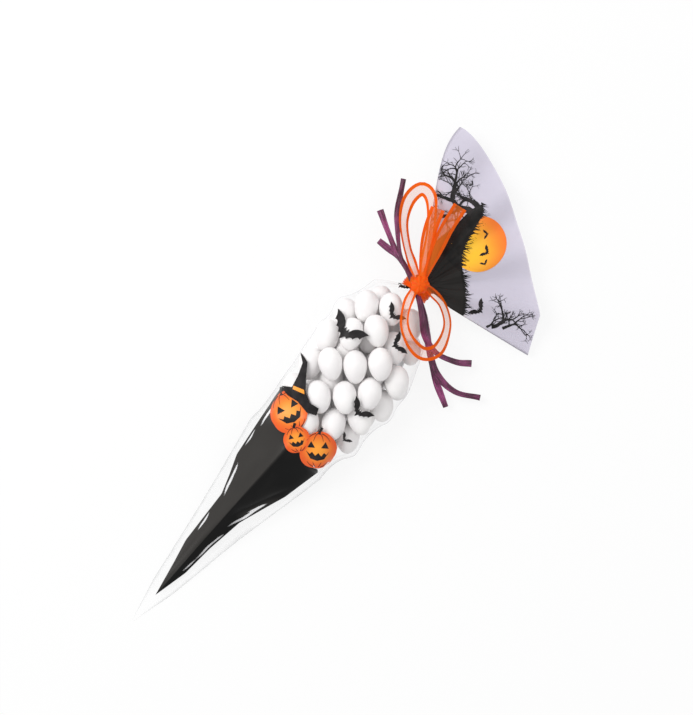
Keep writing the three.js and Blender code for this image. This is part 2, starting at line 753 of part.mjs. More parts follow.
// Where a solid's faces cross a plane square to the bag, as places across the bag and up.
function sliceAt(mesh, x) {
  const position = mesh.geometry.getAttribute('position');
  const index = mesh.geometry.getIndex();
  const found = [];
  for (let k = 0; k < index.count; k += 1) {
    const next = k % 3 === 2 ? k - 2 : k + 1;
    const a = new THREE.Vector3().fromBufferAttribute(position, index.getX(k));
    const b = new THREE.Vector3().fromBufferAttribute(position, index.getX(next));
    if ((a.x - x) * (b.x - x) > 0 || a.x === b.x) continue;
    const at = a.lerp(b, (x - a.x) / (b.x - a.x));
    found.push(new THREE.Vector2(at.y, at.z));
  }
  return found;
}

// The corners of the tightest loop round a set of places, anticlockwise.
function tightLoop(places) {
  const sorted = [...places].sort((a, b) => a.x - b.x || a.y - b.y);
  const half = (run) => {
    const kept = [];
    for (const at of run) {
      while (kept.length > 1) {
        const [a, b] = kept.slice(-2);
        if ((b.x - a.x) * (at.y - a.y) - (b.y - a.y) * (at.x - a.x) > 1e-3) break;
        kept.pop();
      }
      kept.push(at);
    }
    return kept.slice(0, -1);
  };
  return [...half(sorted), ...half([...sorted].reverse())];
}

// The band, drawn tight round the neck and the strands that it holds down.
function ribbonBand(tie, laid) {
  const held = [-0.5, -0.25, 0, 0.25, 0.5].flatMap((share) => (
    laid.flatMap((mesh) => sliceAt(mesh, tie.x + share * BAND_WIDTH))
  )).filter((at) => Math.abs(at.x - tie.y) < 1.5 * NECK_DIAMETER);
  const loop = tightLoop(held);
  const outward = loop.map((at, i) => {
    const way = loop[(i + 1) % loop.length].clone().sub(at).normalize();
    return new THREE.Vector2(way.y, -way.x);
  });
  return loop.flatMap((at, i) => (
    [outward[(i + loop.length - 1) % loop.length], outward[i]].map((out) => (
      flatSection(BAND_WIDTH).map(([u, v]) => {
        const far = at.clone().addScaledVector(out, LOOSE + RIBBON_THICKNESS / 2 - v);
        return new THREE.Vector3(tie.x - u, far.x, far.y);
      })
    ))
  ));
}

function joinedSolids(wasm, geometries) {
  const solids = geometries.map((geometry) => {
    const bare = geometry.clone();
    bare.deleteAttribute('normal');
    bare.deleteAttribute('uv');
    const merged = mergeVertices(bare, 1e-4);
    return new wasm.Manifold(new wasm.Mesh({
      numProp: 3,
      vertProperties: new Float32Array(merged.getAttribute('position').array),
      triVerts: new Uint32Array(merged.getIndex().array),
    }));
  });
  const whole = solids.reduce((sum, solid) => sum.add(solid));
  const found = whole.getMesh();
  const geometry = new THREE.BufferGeometry();
  geometry.setAttribute('position', new THREE.BufferAttribute(found.vertProperties, 3));
  geometry.setIndex(new THREE.BufferAttribute(found.triVerts, 1));
  return geometry;
}

function ribbonBow(wasm, tie, laid) {
  const over = heightOver(laid);
  const clear = (x, y) => over(x, y) + LOOSE + RIBBON_THICKNESS / 2;
  const band = ribbonBand(tie, laid);
  const top = Math.max(...band.flat().map((point) => point.z));
  const knotRise = top + KNOT_HEIGHT / 2 - RIBBON_THICKNESS;
  const knot = new THREE.SphereGeometry(1, 12, 8);
  knot.scale(KNOT_LENGTH / 2, KNOT_WIDTH / 2, KNOT_HEIGHT / 2);
  knot.translate(tie.x + BAND_WIDTH / 2, tie.y, knotRise);
  const geometries = [
    stripGeometry(band, true),
    knot,
    stripGeometry(ribbonLoop(upperLoop, tie, clear, knotRise)),
    stripGeometry(ribbonLoop(lowerLoop, tie, clear, knotRise)),
    ...tails.map((route, i) => (
      stripGeometry(ribbonTail(route, tie, clear, knotRise + (i * 2 - 1) * 2 * RIBBON_THICKNESS))
    )),
  ];
  const mesh = new THREE.Mesh(joinedSolids(wasm, geometries), new THREE.MeshStandardMaterial(ribbonFinish));
  mesh.name = 'ribbon_bow';
  return mesh;
}

const wasm = await Module();
wasm.setup();

const bag = new THREE.Group();
bag.position.x = -BULGE_AT;
const sweets = settledSweets();
const film = bagFilm(sweets);
bag.add(...sweets.map(sweetMesh));
bag.add(film.mesh);

const laid = [film.mesh];
for (let number = 0; number < raffiaRoutes.length; number += 1) {
  laid.push(raffiaStrand(number, film.tie, laid));
}
bag.add(...laid.slice(1));
bag.add(ribbonBow(wasm, film.tie, laid));

export default bag;
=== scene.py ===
"""A filled and tied cone bag: egg sweets in printed clear film, an organza bow and raffia strands.

Places are worked out in millimetres from the bag's tip, then turned to metres in the row's frame.
"""
import math
import random

import bmesh
import bpy
import numpy as np
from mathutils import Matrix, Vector, noise
from mathutils.bvhtree import BVHTree


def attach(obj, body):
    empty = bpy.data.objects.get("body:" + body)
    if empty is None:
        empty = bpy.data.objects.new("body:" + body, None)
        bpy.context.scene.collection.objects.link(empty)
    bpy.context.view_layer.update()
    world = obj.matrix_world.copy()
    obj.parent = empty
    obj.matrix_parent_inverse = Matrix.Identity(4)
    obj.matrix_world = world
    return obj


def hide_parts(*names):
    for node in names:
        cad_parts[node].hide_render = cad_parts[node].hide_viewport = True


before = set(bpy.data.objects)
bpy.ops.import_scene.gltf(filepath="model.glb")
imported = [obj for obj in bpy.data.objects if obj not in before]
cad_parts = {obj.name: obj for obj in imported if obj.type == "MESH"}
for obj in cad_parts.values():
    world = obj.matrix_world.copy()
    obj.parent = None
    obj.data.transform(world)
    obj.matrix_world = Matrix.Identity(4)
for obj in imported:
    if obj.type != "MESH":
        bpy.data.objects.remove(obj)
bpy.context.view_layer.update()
MM = 0.001
TIP_X = -220.0  # the tip, from the origin under the widest place
STEP = 0.617  # mm: the step in which the print and the picture are laid out

# Picture: it looks straight down, and the bag lies across it
PICTURE_HEIGHT = 715 * STEP
PICTURE_CENTRE = (-6.6, 9.2)
PICTURE_RIGHT = (0.6639, -0.7478)
CAMERA_RISE = 1600.0
FOCUS_RISE = 20.0
SENSOR = 36.0

# Film
FILL_FROM = 150.0
BULGE_AT = 220.0
SLACK_AT = 74.0
NECK_DIAMETER = 13.0
NECK_RISE = 20.0
NECK_SIDE = 5.0
SHOULDER = 12.0
TIE_AT = 274.2
COLLAR = 5.4
WALL = 0.4
NECK_AT = TIE_AT - COLLAR / 2  # where the gathered neck starts
NECK_RADIUS = NECK_DIAMETER / 2 - WALL
HALF_HEIGHT = 1 / 1.8  # half height of the film's section, as a share of its top's height
LOOSE = 0.35  # mm between the film and the sweets that hold it out
SETTLE = 2.5  # mm over which the film comes off the last sweet
LOWEST = 0.25  # mm: no part of the film lies lower
WELD_SLACK = 2.6  # mm by which the welds stand out on the slack cone
WELD_TAUT = 0.8  # mm by which they stand out on the bulge
AROUND = 144
TURNS = 2 * np.pi * np.arange(AROUND) / AROUND  # from the left weld over the top
TENSION_STEPS = 520
FLARE_TURN = math.radians(-25.4)
FLARE_REACH = 64.0
FLARE_ROWS = 64
MOUTH_LEFT = 82.0
MOUTH_RIGHT = 45.0
MOUTH_LINE = MOUTH_LEFT + MOUTH_RIGHT
MOUTH_BOW = 10.5  # how far the mouth's edge swells past a straight line, most of it on the left
LEFT_SWELL = 9.0  # how far the left side of the flare swells past a straight line
MOUTH_RISE = 10.0
MOUTH_GAP = 9.0
FLAP_LENGTH = 26.0
FLAP_TURN = math.radians(39)
FLAP_DROP = 5.0
FOLD_AT = MOUTH_LINE / (MOUTH_LINE + FLAP_LENGTH)

# Ribbon and raffia
RIBBON_WIDTH = 9.0
BAND_WIDTH = 4.0
RIBBON_TILT = math.radians(55)
RAFFIA_WIDTH = 3.8

chance = random.Random(7)


def linked(name, data):
    """A new object in the scene."""
    made = bpy.data.objects.new(name, data)
    bpy.context.scene.collection.objects.link(made)
    return made


def camera():
    data = bpy.data.cameras.new("camera")
    data.sensor_width = SENSOR
    data.lens = SENSOR * (CAMERA_RISE - FOCUS_RISE) / PICTURE_HEIGHT
    data.clip_end = 20
    made = linked("camera", data)
    made.location = (PICTURE_CENTRE[0] * MM, PICTURE_CENTRE[1] * MM, CAMERA_RISE * MM)
    made.rotation_euler = (0, 0, math.atan2(PICTURE_RIGHT[1], PICTURE_RIGHT[0]))
    bpy.context.scene.camera = made


camera()


# Finishes

WHITE = (1, 1, 1, 1)
INK_ROUGHNESS = 0.34
BLACK_SHINE = 0.14
COLOUR_SHINE = 0.35


def linear(*colour):
    """A colour that is written in 0 to 255, as the shader wants it."""
    def one(value):
        value /= 255
        return value / 12.92 if value <= 0.04045 else ((value + 0.055) / 1.055) ** 2.4
    return (*(one(value) for value in colour), 1)


class Signal:
    """A value that changes over a surface. Arithmetic on it adds the nodes that work it out."""

    def __init__(self, finish, socket):
        self.finish = finish
        self.socket = socket

    def _math(self, operation, *values):
        return self.finish.node("Math", {"operation": operation}, dict(enumerate(values)))

    def __add__(self, other):
        return self._math("ADD", self, other)

    __radd__ = __add__

    def __sub__(self, other):
        return self._math("SUBTRACT", self, other)

    def __rsub__(self, other):
        return self._math("SUBTRACT", other, self)

    def __mul__(self, other):
        return self._math("MULTIPLY", self, other)

    __rmul__ = __mul__

    def __pow__(self, other):
        return self._math("POWER", self, other)

    def size(self):
        return self._math("ABSOLUTE", self)

    def most(self, other):
        return self._math("MAXIMUM", self, other)

    def step(self, low, high):
        """0 below low, 1 above high, and smooth between."""
        return self.finish.node(
            "MapRange", {"interpolation_type": "SMOOTHSTEP"}, {"Value": self, 1: low, 2: high})


class Finish:
    """One material, or a world, made from nodes."""

    def __init__(self, name, world=None):
        self.material = world or bpy.data.materials.new(name)
        self.material.use_nodes = True
        self.tree = self.material.node_tree
        self.tree.nodes.clear()

    def node(self, kind, settings=None, sockets=None, out=0):
        made = self.tree.nodes.new("ShaderNode" + kind)
        for key, value in (settings or {}).items():
            if key == "stops":
                while len(made.color_ramp.elements) < len(value):
                    made.color_ramp.elements.new(0.5)
                for element, (place, colour) in zip(made.color_ramp.elements, value):
                    element.position = place
                    element.color = colour
            else:
                setattr(made, key, value)
        for key, value in (sockets or {}).items():
            if isinstance(value, Signal):
                self.tree.links.new(value.socket, made.inputs[key])
            else:
                made.inputs[key].default_value = value
        return Signal(self, made.outputs[out])

    def place(self):
        return self.node("TexCoord", out=3)

    def told(self, name):
        """A value stored on the mesh's vertices."""
        return self.node("Attribute", {"attribute_name": name}, out=2)

    def mottle(self, scale, detail=3.0, where=None):
        return self.node("TexNoise", None, {
            "Vector": where or self.place(), "Scale": scale, "Detail": detail})

    def stretched(self, scales):
        return self.node("VectorMath", {"operation": "MULTIPLY"}, {0: self.place(), 1: scales})

    def tint(self, share, first, second):
        return self.node(
            "Mix", {"data_type": "RGBA", "clamp_factor": True}, {0: share, 6: first, 7: second}, out=2)

    def bump(self, height, strength, depth):
        return self.node("Bump", None, {"Height": height, "Strength": strength, "Distance": depth})

    def surface(self, **sockets):
        return self.node("BsdfPrincipled", None, {
            key.replace("_", " "): value for key, value in sockets.items()})

    def clear(self):
        return self.node("BsdfTransparent", None, {"Color": WHITE})

    def slant(self):
        """0 where the surface faces the viewer, 1 where it is seen along its face."""
        return self.node("LayerWeight", None, {"Blend": 0.5}, out=1)

    def mixed(self, share, first, second):
        return self.node("MixShader", None, {0: share, 1: first, 2: second})

    def looked_at(self):
        """1 for a ray from the camera, a mirrored one or one that passed through something clear."""
        camera_ray, glossy_ray, passed_ray = (self.node("LightPath", out=out) for out in (0, 3, 6))
        return camera_ray.most(glossy_ray).most(passed_ray)

    def done(self, shader, output="OutputMaterial"):
        output = self.tree.nodes.new("ShaderNode" + output)
        self.tree.links.new(shader.socket, output.inputs["Surface"])
        return self.material


def egg_finish():
    finish = Finish("sugar shell")
    broad = finish.mottle(60)
    fine = finish.mottle(900, 5)
    return finish.done(finish.surface(
        Base_Color=finish.tint(broad.step(0.35, 0.7), linear(244, 241, 241), linear(251, 249, 248)),
        Roughness=0.36 + 0.16 * fine,
        Normal=finish.bump(broad * 0.7 + fine * 0.06, 0.25, 0.0006),
        Specular_IOR_Level=0.4,
    ))


def film_finish():
    """Clear film: printed black with a painted lamp reflection, milky at the mouth, a little white along
    its creases, with painted white glints at its margins, and hazy below.
    """
    finish = Finish("printed clear film")
    black = finish.told("black_edge").step(-0.12, 0.12)
    milky = finish.told("milky")
    crease = finish.mottle(1.0, 4, finish.stretched((30, 85, 85)))
    gloss = finish.slant() ** 2.4
    # The glint term paints white highlights on the film.
    haze_and_glints = (0.02 + 0.24 * gloss + 0.06 * crease.step(0.58, 0.78)
            + 0.6 * finish.told("glint") + 0.8 * finish.told("under"))
    shown = black.most(milky * (0.8 + 0.12 * gloss)).most(haze_and_glints)
    # The black print's colour lightens with the painted reflection of the key lamp.
    sheen = finish.told("sheen") + 0.5 * (crease - 0.5)
    ink = finish.tint(sheen, linear(5, 5, 5), linear(54, 52, 50))
    sheet = finish.tint(milky, linear(250, 250, 252), linear(212, 207, 222))
    film = finish.surface(
        Base_Color=finish.tint(black, sheet, ink),
        Roughness=0.16 + 0.14 * black + 0.2 * milky,
        Specular_IOR_Level=BLACK_SHINE,
        Normal=finish.bump(crease, 0.12, 0.002),
    )
    return finish.done(finish.mixed(shown, finish.clear(), film))


def ink_finish(name, low, high):
    finish = Finish(name)
    spots = finish.mottle(180)
    return finish.done(finish.surface(
        Base_Color=finish.tint(spots.step(0.3, 0.75), low, high),
        Roughness=INK_ROUGHNESS + 0.1 * spots,
        Specular_IOR_Level=BLACK_SHINE,
    ))


def shaded_ink(name, inner, outer):
    """Ink that goes from one colour at a figure's middle to another at its edge."""
    finish = Finish(name)
    spots = finish.mottle(220)
    share = finish.told("out").step(0.15, 1.0) + 0.12 * (spots - 0.5)
    return finish.done(finish.surface(
        Base_Color=finish.tint(share, inner, outer),
        Roughness=INK_ROUGHNESS + 0.1 * spots,
        Specular_IOR_Level=COLOUR_SHINE,
    ))


def ribbon_finish():
    finish = Finish("organza with satin edges")
    satin = finish.told("across").size().step(0.46, 0.56)
    weave = finish.node("TexWave", {"wave_type": "BANDS", "bands_direction": "X"}, {
        "Vector": finish.place(), "Scale": 900.0, "Distortion": 0.6})
    sheer = 0.2 + 0.12 * weave + 0.4 * finish.slant() ** 1.5
    dense = satin.most(finish.told("crush")).most(sheer)
    cloth = finish.surface(
        Base_Color=finish.tint(satin, linear(255, 124, 26), linear(255, 100, 0)),
        Roughness=0.5 - 0.14 * satin,
        Normal=finish.bump(weave, 0.3, 0.0002),
        Specular_IOR_Level=0.2,
    )
    glow = finish.node("BsdfTranslucent", None, {"Color": linear(255, 112, 0)})
    return finish.done(finish.mixed(dense, finish.clear(), finish.mixed(0.35, cloth, glow)))


def raffia_finish():
    finish = Finish("plum raffia")
    across = finish.told("across")
    along = finish.told("along")
    fibre = finish.node("CombineXYZ", None, {0: across * 9.0, 1: along * 0.12})
    lines = finish.mottle(1.4, 5, fibre)
    broad = finish.mottle(55)
    share = lines * 0.7 + broad * 0.5
    # Streaks along the fibres: partly the raffia's own uneven tone, partly painted highlights (the
    # brightest stop) and painted shade lines (the darkest).
    colour = finish.node("ValToRGB", {"stops": [
        (0.42, linear(26, 6, 20)),
        (0.58, linear(72, 18, 50)),
        (0.74, linear(170, 74, 134)),
    ]}, {0: share})
    return finish.done(finish.surface(
        Base_Color=colour,
        Roughness=0.34 + 0.2 * lines,
        Normal=finish.bump(lines, 0.7, 0.0005),
    ))


# Shapes shared by the pieces

def smooth(low, high, value):
    share = np.clip((np.asarray(value, float) - low) / (high - low), 0, 1)
    return share * share * (3 - 2 * share)


def profile(*stations):
    """A smooth curve through a few stations, each given as a place and a value."""
    at = np.array([place for place, _ in stations], float)
    value = np.array([height for _, height in stations], float)
    last = len(at) - 1
    low = np.maximum(np.arange(last + 1) - 1, 0)
    high = np.minimum(np.arange(last + 1) + 1, last)
    slope = (value[high] - value[low]) / (at[high] - at[low])

    def curve(place):
        place = np.clip(np.asarray(place, float), at[0], at[-1])
        i = np.clip(np.searchsorted(at, place, side="right") - 1, 0, last - 1)
        span = at[i + 1] - at[i]
        t = (place - at[i]) / span
        rise = value[i] + (value[i + 1] - value[i]) * t * t * (3 - 2 * t)
        return rise + t * (1 - t) * span * (slope[i] * (1 - t) - slope[i + 1] * t)
    return curve


def in_metres(points):
    points = np.asarray(points, float) * MM
    points[:, 0] += TIP_X * MM
    return points


def piece(name, points, faces, finish, stands_for=(), values=None):
    mesh = bpy.data.meshes.new(name)
    mesh.from_pydata([tuple(p) for p in in_metres(points)], [], faces)
    mesh.polygons.foreach_set("use_smooth", [True] * len(mesh.polygons))
    for key, numbers in (values or {}).items():
        stored = mesh.attributes.new(key, "FLOAT", "POINT")
        stored.data.foreach_set("value", np.asarray(numbers, np.float32).ravel())
    mesh.materials.append(finish)
    made = linked(name, mesh)
    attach(made, "root")
    if stands_for:
        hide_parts(*stands_for)
    return made


def grid_faces(rows, columns, ring):
    wide = columns if ring else columns - 1
    return [
        (i * columns + j, i * columns + (j + 1) % columns,
         (i + 1) * columns + (j + 1) % columns, (i + 1) * columns + j)
        for i in range(rows - 1) for j in range(wide)
    ]


# Sweets

def egg_places():
    """Middle and long direction of each sweet, from the sharp end to the blunt one."""
    found = []
    for name, node in sorted(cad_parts.items()):
        if not name.startswith("sweet_"):
            continue
        corners = np.array([v.co for v in node.data.vertices]) / MM
        corners[:, 0] -= TIP_X
        apart = np.linalg.norm(corners[:, None] - corners[None, :], axis=2)
        a, b = np.unravel_index(apart.argmax(), apart.shape)
        middle = (corners[a] + corners[b]) / 2
        axis = (corners[b] - corners[a]) / apart[a, b]
        along = (corners - middle) @ axis
        off = np.linalg.norm(corners - middle - np.outer(along, axis), axis=1)
        if off[(along > 3) & (along < 7)].max() < off[(along < -3) & (along > -7)].max():
            axis = -axis
        found.append((name, middle, axis))
    return found


EGG_LENGTH = 21.0
EGG_DIAMETER = 15.0
EGG_BLUNTNESS = 0.1
EGG_RINGS = 18
EGG_SIDES = 32


def egg_points(middle, axis, seed=None):
    turn = np.pi * np.arange(EGG_RINGS + 1) / EGG_RINGS
    radius = EGG_DIAMETER / 2 * np.sin(turn) * (1 - EGG_BLUNTNESS * np.cos(turn))
    along = -EGG_LENGTH / 2 * np.cos(turn)
    first = np.cross(axis, (0, 0, 1))
    first /= np.linalg.norm(first)
    second = np.cross(axis, first)
    around = 2 * np.pi * np.arange(EGG_SIDES) / EGG_SIDES
    out = np.cos(around)[:, None] * first + np.sin(around)[:, None] * second
    rings = middle + along[:, None, None] * axis + radius[:, None, None] * out[None]
    if seed is not None:
        for ring in rings:
            for k, point in enumerate(ring):
                lump = noise.noise(Vector(point - middle) * 0.16 + Vector((seed * 7.3, 0, 0)))
                ring[k] = middle + (point - middle) * (0.985 + 0.022 * lump)
    return rings


def eggs(places):
    finish = egg_finish()
    for number, (name, middle, axis) in enumerate(places):
        rings = egg_points(middle, axis, number)
        points = [rings[0][0], *rings[1:-1].reshape(-1, 3), rings[-1][0]]
        faces = [tuple(1 + k for k in face) for face in grid_faces(EGG_RINGS - 1, EGG_SIDES, True)]
        end = len(points) - 1
        for k in range(EGG_SIDES):
            nxt = (k + 1) % EGG_SIDES
            faces.append((0, 1 + nxt, 1 + k))
            faces.append((end, end - EGG_SIDES + k, end - EGG_SIDES + nxt))
        piece(f"sugar_egg_{name[-2:]}", points, faces, finish, [name])


# Film

def room(place):
    """Half width, half height, middle's height and sideways shift of the film at a place."""
    shoulder = NECK_AT - SHOULDER
    tops = [(SLACK_AT, 9), (FILL_FROM, 29), (BULGE_AT, 42)]
    width = profile((0, WALL), (SLACK_AT, 12), (FILL_FROM, 27), (BULGE_AT, 36.5),
                    (shoulder, 25), (NECK_AT, NECK_RADIUS))
    height = profile((0, WALL), *((at, top * HALF_HEIGHT) for at, top in tops),
                     (shoulder, 33 * HALF_HEIGHT), (NECK_AT, NECK_RADIUS))
    middle = profile((0, WALL), *((at, top - top * HALF_HEIGHT) for at, top in tops),
                     (shoulder, NECK_RISE), (NECK_AT, NECK_RISE))
    return width(place), height(place), middle(place), NECK_SIDE * smooth(BULGE_AT, NECK_AT, place)


def drawn_film(places, found, pile_end):
    """How far out the film stands, as a share of its room: drawn in, and held out by the eggs."""
    width, height, middle, side = room(places)
    held = np.zeros((len(places), AROUND))
    for _, centre, axis in found:
        points = egg_points(centre, axis).reshape(-1, 3)
        row = np.clip(np.searchsorted(places, points[:, 0]), 1, len(places) - 1)
        for at in (row - 1, row):
            y = (points[:, 1] - side[at]) / width[at]
            z = (points[:, 2] - middle[at]) / height[at]
            turn = np.arctan2(z, y) % (2 * np.pi)
            spare = LOOSE * np.hypot(np.cos(turn) / width[at], np.sin(turn) / height[at])
            out = np.hypot(y, z) + spare
            column = np.floor(turn / (2 * np.pi) * AROUND).astype(int) % AROUND
            for next_to in (0, 1):
                np.maximum.at(held, (at, (column + next_to) % AROUND), out)
    chord = math.cos(2 * math.pi / AROUND)
    filled = ((places >= FILL_FROM - 4) & (places <= pile_end))[:, None]
    filled[-1] = False
    on_table = middle[:, None] + height[:, None] * np.sin(TURNS) <= WALL
    out = np.maximum(1, held)
    for _ in range(TENSION_STEPS):
        beside = (np.roll(out, 1, 1) + np.roll(out, -1, 1)) / 2
        along = out.copy()
        along[1:-1] = (out[:-2] + out[2:]) / 2
        drawn = (beside * chord + along) / 2
        out = np.where(filled, np.maximum(held, np.where(on_table, out, drawn)), out)
    past = places > pile_end
    ease = np.exp(-(places[past] - pile_end) / SETTLE)[:, None]
    out[past] = 1 + (out[np.argmax(past) - 1] - 1) * ease
    return out


def pleats(turns):
    """How far the folds of the gathered film stand out, in mm."""
    return 0.8 * np.cos(9 * turns) + 0.45 * np.cos(23 * turns + 1)


def past_crease(x, y):
    """How far to the left of the slack cone's crease a place lies, in mm."""
    return y + 5 + 0.42 * (x - 98)


def cone_rows(found):
    """The film from its tip to the neck: slack, then held out by the sweets, then gathered."""
    pile_end = max(np.max(egg_points(m, a)[..., 0]) for _, m, a in found) + LOOSE
    places = np.concatenate([
        np.linspace(0.5, FILL_FROM, 110)[:-1],
        np.linspace(FILL_FROM, pile_end, 120)[:-1],
        np.linspace(pile_end, NECK_AT, 16),
    ])
    out = drawn_film(places, found, pile_end)
    width, height, middle, side = (values[:, None] for values in room(places))
    at = places[:, None]
    slack = smooth(18, 60, at) * (1 - smooth(135, 160, at))
    fold = smooth(NECK_AT - 26, NECK_AT, at) * pleats(TURNS)
    ripple = slack * (0.3 * np.sin(4 * TURNS + at / 27) + 0.12 * np.sin(9 * TURNS - at / 17))
    roof = np.sign(np.sin(TURNS)) * (1 - np.abs(np.cos(TURNS))) * 1.15
    upright = np.sin(TURNS) + 0.7 * slack * (roof - np.sin(TURNS))
    y = side + (width * out + fold + ripple) * np.cos(TURNS)
    z = middle + (height * out + fold + ripple) * upright
    weld = WELD_SLACK + (WELD_TAUT - WELD_SLACK) * smooth(FILL_FROM, BULGE_AT, places)
    weld *= (1 - smooth(pile_end - 4, pile_end, places)) * smooth(0, 34, places)
    y[:, 0] += weld
    y[:, AROUND // 2] -= weld
    crease = past_crease(at, y)
    dent = 2.6 * np.exp(-np.abs(crease) / np.where(crease > 0, 2.0, 6.0))
    dent *= smooth(90, 100, at) * (1 - smooth(116, 132, at))
    z = np.where(np.sin(TURNS) > 0, z - dent, z)
    for column in (0, AROUND // 2):
        wave = [noise.noise(Vector((x * 0.11, column * 0.11, 3))) for x in places]
        z[:, column] += 1.1 * np.array(wave) * slack[:, 0]
    return np.stack([np.repeat(at, AROUND, 1), y, np.maximum(z, LOWEST)], axis=2)


def flare_rows():
    """The spread mouth, from the tie's far side to the edge."""
    upper = TURNS <= np.pi
    across = np.where(upper, TURNS / np.pi, 2 - TURNS / np.pi)
    on_mouth = np.clip(across / FOLD_AT, 0, 1)
    on_flap = np.clip((across - FOLD_AT) / (1 - FOLD_AT), 0, 1)
    out = (FLARE_REACH + MOUTH_BOW * np.sin(np.pi * on_mouth ** 0.7)
           - FLAP_LENGTH * on_flap * math.sin(FLAP_TURN))
    side = MOUTH_LEFT - MOUTH_LINE * on_mouth - FLAP_LENGTH * on_flap * math.cos(FLAP_TURN)
    round_edge = np.maximum(np.sin(np.pi * across), 0)
    radius = NECK_RADIUS + pleats(TURNS)
    cos, sin = math.cos(FLARE_TURN), math.sin(FLARE_TURN)
    first = 1.3 * COLLAR / FLARE_REACH
    rows = []
    for share in first + (1 - first) * np.linspace(0, 1, FLARE_ROWS):
        rise = NECK_RISE + (MOUTH_RISE - NECK_RISE) * float(smooth(0, 1, share))
        wave = 3.0 * share ** 0.8 * np.sin(8 * np.pi * across) * round_edge ** 0.5
        fine = 0.5 * (1 - share) ** 2 * np.sin(38 * np.pi * across) * round_edge ** 0.5
        gap = MOUTH_GAP / 2 * share * round_edge ** 0.6
        swell = LEFT_SWELL * np.clip(1 - 2.2 * across, 0, 1) ** 1.5 * math.sin(math.pi * share ** 1.9)
        height = rise + np.where(upper, gap, -gap) + wave + fine - FLAP_DROP * on_flap * share
        spread = np.stack([out * share, side * share + swell, height])
        reach = np.full(AROUND, FLARE_REACH * share)
        gathered = np.stack([reach, radius * np.cos(TURNS), rise + radius * np.sin(TURNS)])
        flat = float(smooth(0, 0.3, share))
        along, aside, up = gathered * (1 - flat) + spread * flat
        rows.append(np.stack([
            TIE_AT + along * cos - aside * sin,
            NECK_SIDE + along * sin + aside * cos,
            np.maximum(up, LOWEST),
        ], axis=1))
    return np.array(rows)


# The print's own outlines, in steps along and across from the tip
UPPER_EDGE = [(38, 0), (75, 8), (100, 14), (160, 18), (180, 25), (200, 33), (270, 43), (300, 46)]
LOWER_EDGE = [(38, 0), (75, -8), (110, -10), (150, -15), (180, -25), (200, -32), (240, -40),
              (300, -50)]
HILL = [(444, -44), (443, -20), (444, 0), (450, 16), (472, 24), (495, 25), (520, 21), (540, 20),
        (552, 15), (543, 8), (528, 5), (512, 2), (498, -4), (488, -13), (482, -22), (474, -30),
        (466, -38), (456, -45)]
HILL_FROM = 440
CLEAR_TIP = 38
RIM = [(-60, 236), (-40, 241), (0, 262), (43, 282), (60, 288)]  # across, then along


def inside(points, outline):
    """How far inside an outline each place lies."""
    corners = np.array(outline, float)
    far = np.full(len(points), 1e9)
    within = np.zeros(len(points), bool)
    for start, end in zip(corners, np.roll(corners, -1, 0)):
        way = end - start
        share = np.clip((points - start) @ way / (way @ way), 0, 1)
        far = np.minimum(far, np.linalg.norm(points - start - share[:, None] * way, axis=1))
        crossed = (start[1] > points[:, 1]) != (end[1] > points[:, 1])
        if way[1]:
            within ^= crossed & (points[:, 0] < start[0] + way[0] * (points[:, 1] - start[1]) / way[1])
    return np.where(within, far, -far)


def black_edge(points):
    """How far inside the black field a place on the film lies, in mm."""
    x = points[:, 0] / STEP
    y = points[:, 1] / STEP
    high = np.interp(x, *zip(*UPPER_EDGE)) - y
    low = y - np.interp(x, *zip(*LOWER_EDGE))
    end = (np.interp(y, *zip(*RIM)) - x) * 0.9
    cone = np.minimum(np.minimum(high, low), np.minimum(end, x - CLEAR_TIP))
    hill = np.where(x > HILL_FROM, inside(np.stack([x, y], axis=1), HILL), -99)
    return np.maximum(cone, hill) * STEP


# Painted white glints along the clear margins, where light would catch on creases: place along and across,
# half length, half width, turn
GLINTS = [(174, 19.6, 14, 1.2, 19), (187, 23.5, 8, 0.8, 22), (160, -15.6, 20, 1.2, -18),
          (173, -18.5, 10, 0.9, -26), (108, -7.6, 14, 1.0, -5), (122, -9.4, 8, 0.8, -8),
          (251, 36, 14, 1.0, 10), (127, 13, 10, 0.8, 10), (222, 34, 9, 0.7, 9), (84, -5.6, 8, 0.7, -9)]


def glints(points):
    """How far inside a painted white glint a place on the film lies, in mm."""
    deepest = np.full(len(points), -9.0)
    for number, (x, y, length, width, turn) in enumerate(GLINTS):
        turn = math.radians(turn)
        way = points[:, :2] / STEP - (x, y)
        along = way @ (math.cos(turn), math.sin(turn))
        across = way @ (-math.sin(turn), math.cos(turn)) + 0.35 * np.sin(along * 0.23 + number)
        deepest = np.maximum(deepest, width * STEP * (1 - np.hypot(along / length, across / width)))
    return np.where(points[:, 2] > 1, deepest, -9)


def painted_sheen_of(rows):
    """A painted reflection of the key lamp in the black print's colour: lighter on its left slope and
    beside the crease, an even tone past the tie.
    """
    facing = np.cross(np.gradient(rows, axis=0), np.roll(rows, -1, 1) - np.roll(rows, 1, 1))
    facing /= np.maximum(np.linalg.norm(facing, axis=2), 1e-9)[:, :, None]
    facing *= np.sign(facing[:, AROUND // 4, 2])[:, None, None]
    x, y = rows[:, :, 0], rows[:, :, 1]
    sheen = smooth(-0.1, 0.45, facing[:, :, 1] + 0.02 * (y + 4))
    beside = np.exp(-(past_crease(x, y) + 3.5) ** 2 / 7)
    sheen += 0.6 * beside * smooth(92, 100, x) * (1 - smooth(112, 126, x))
    return np.where(x > TIE_AT, 0.42, sheen)


def under_pile(points):
    """1 on the film's underside below the sweets, 0 elsewhere."""
    x = points[:, 0]
    width, _, _, side = room(x)
    under = (points[:, 2] < 3) & (np.abs(points[:, 1] - side) < 0.6 * width)
    return under * smooth(FILL_FROM, FILL_FROM + 8, x) * (1 - smooth(256, 262, x))


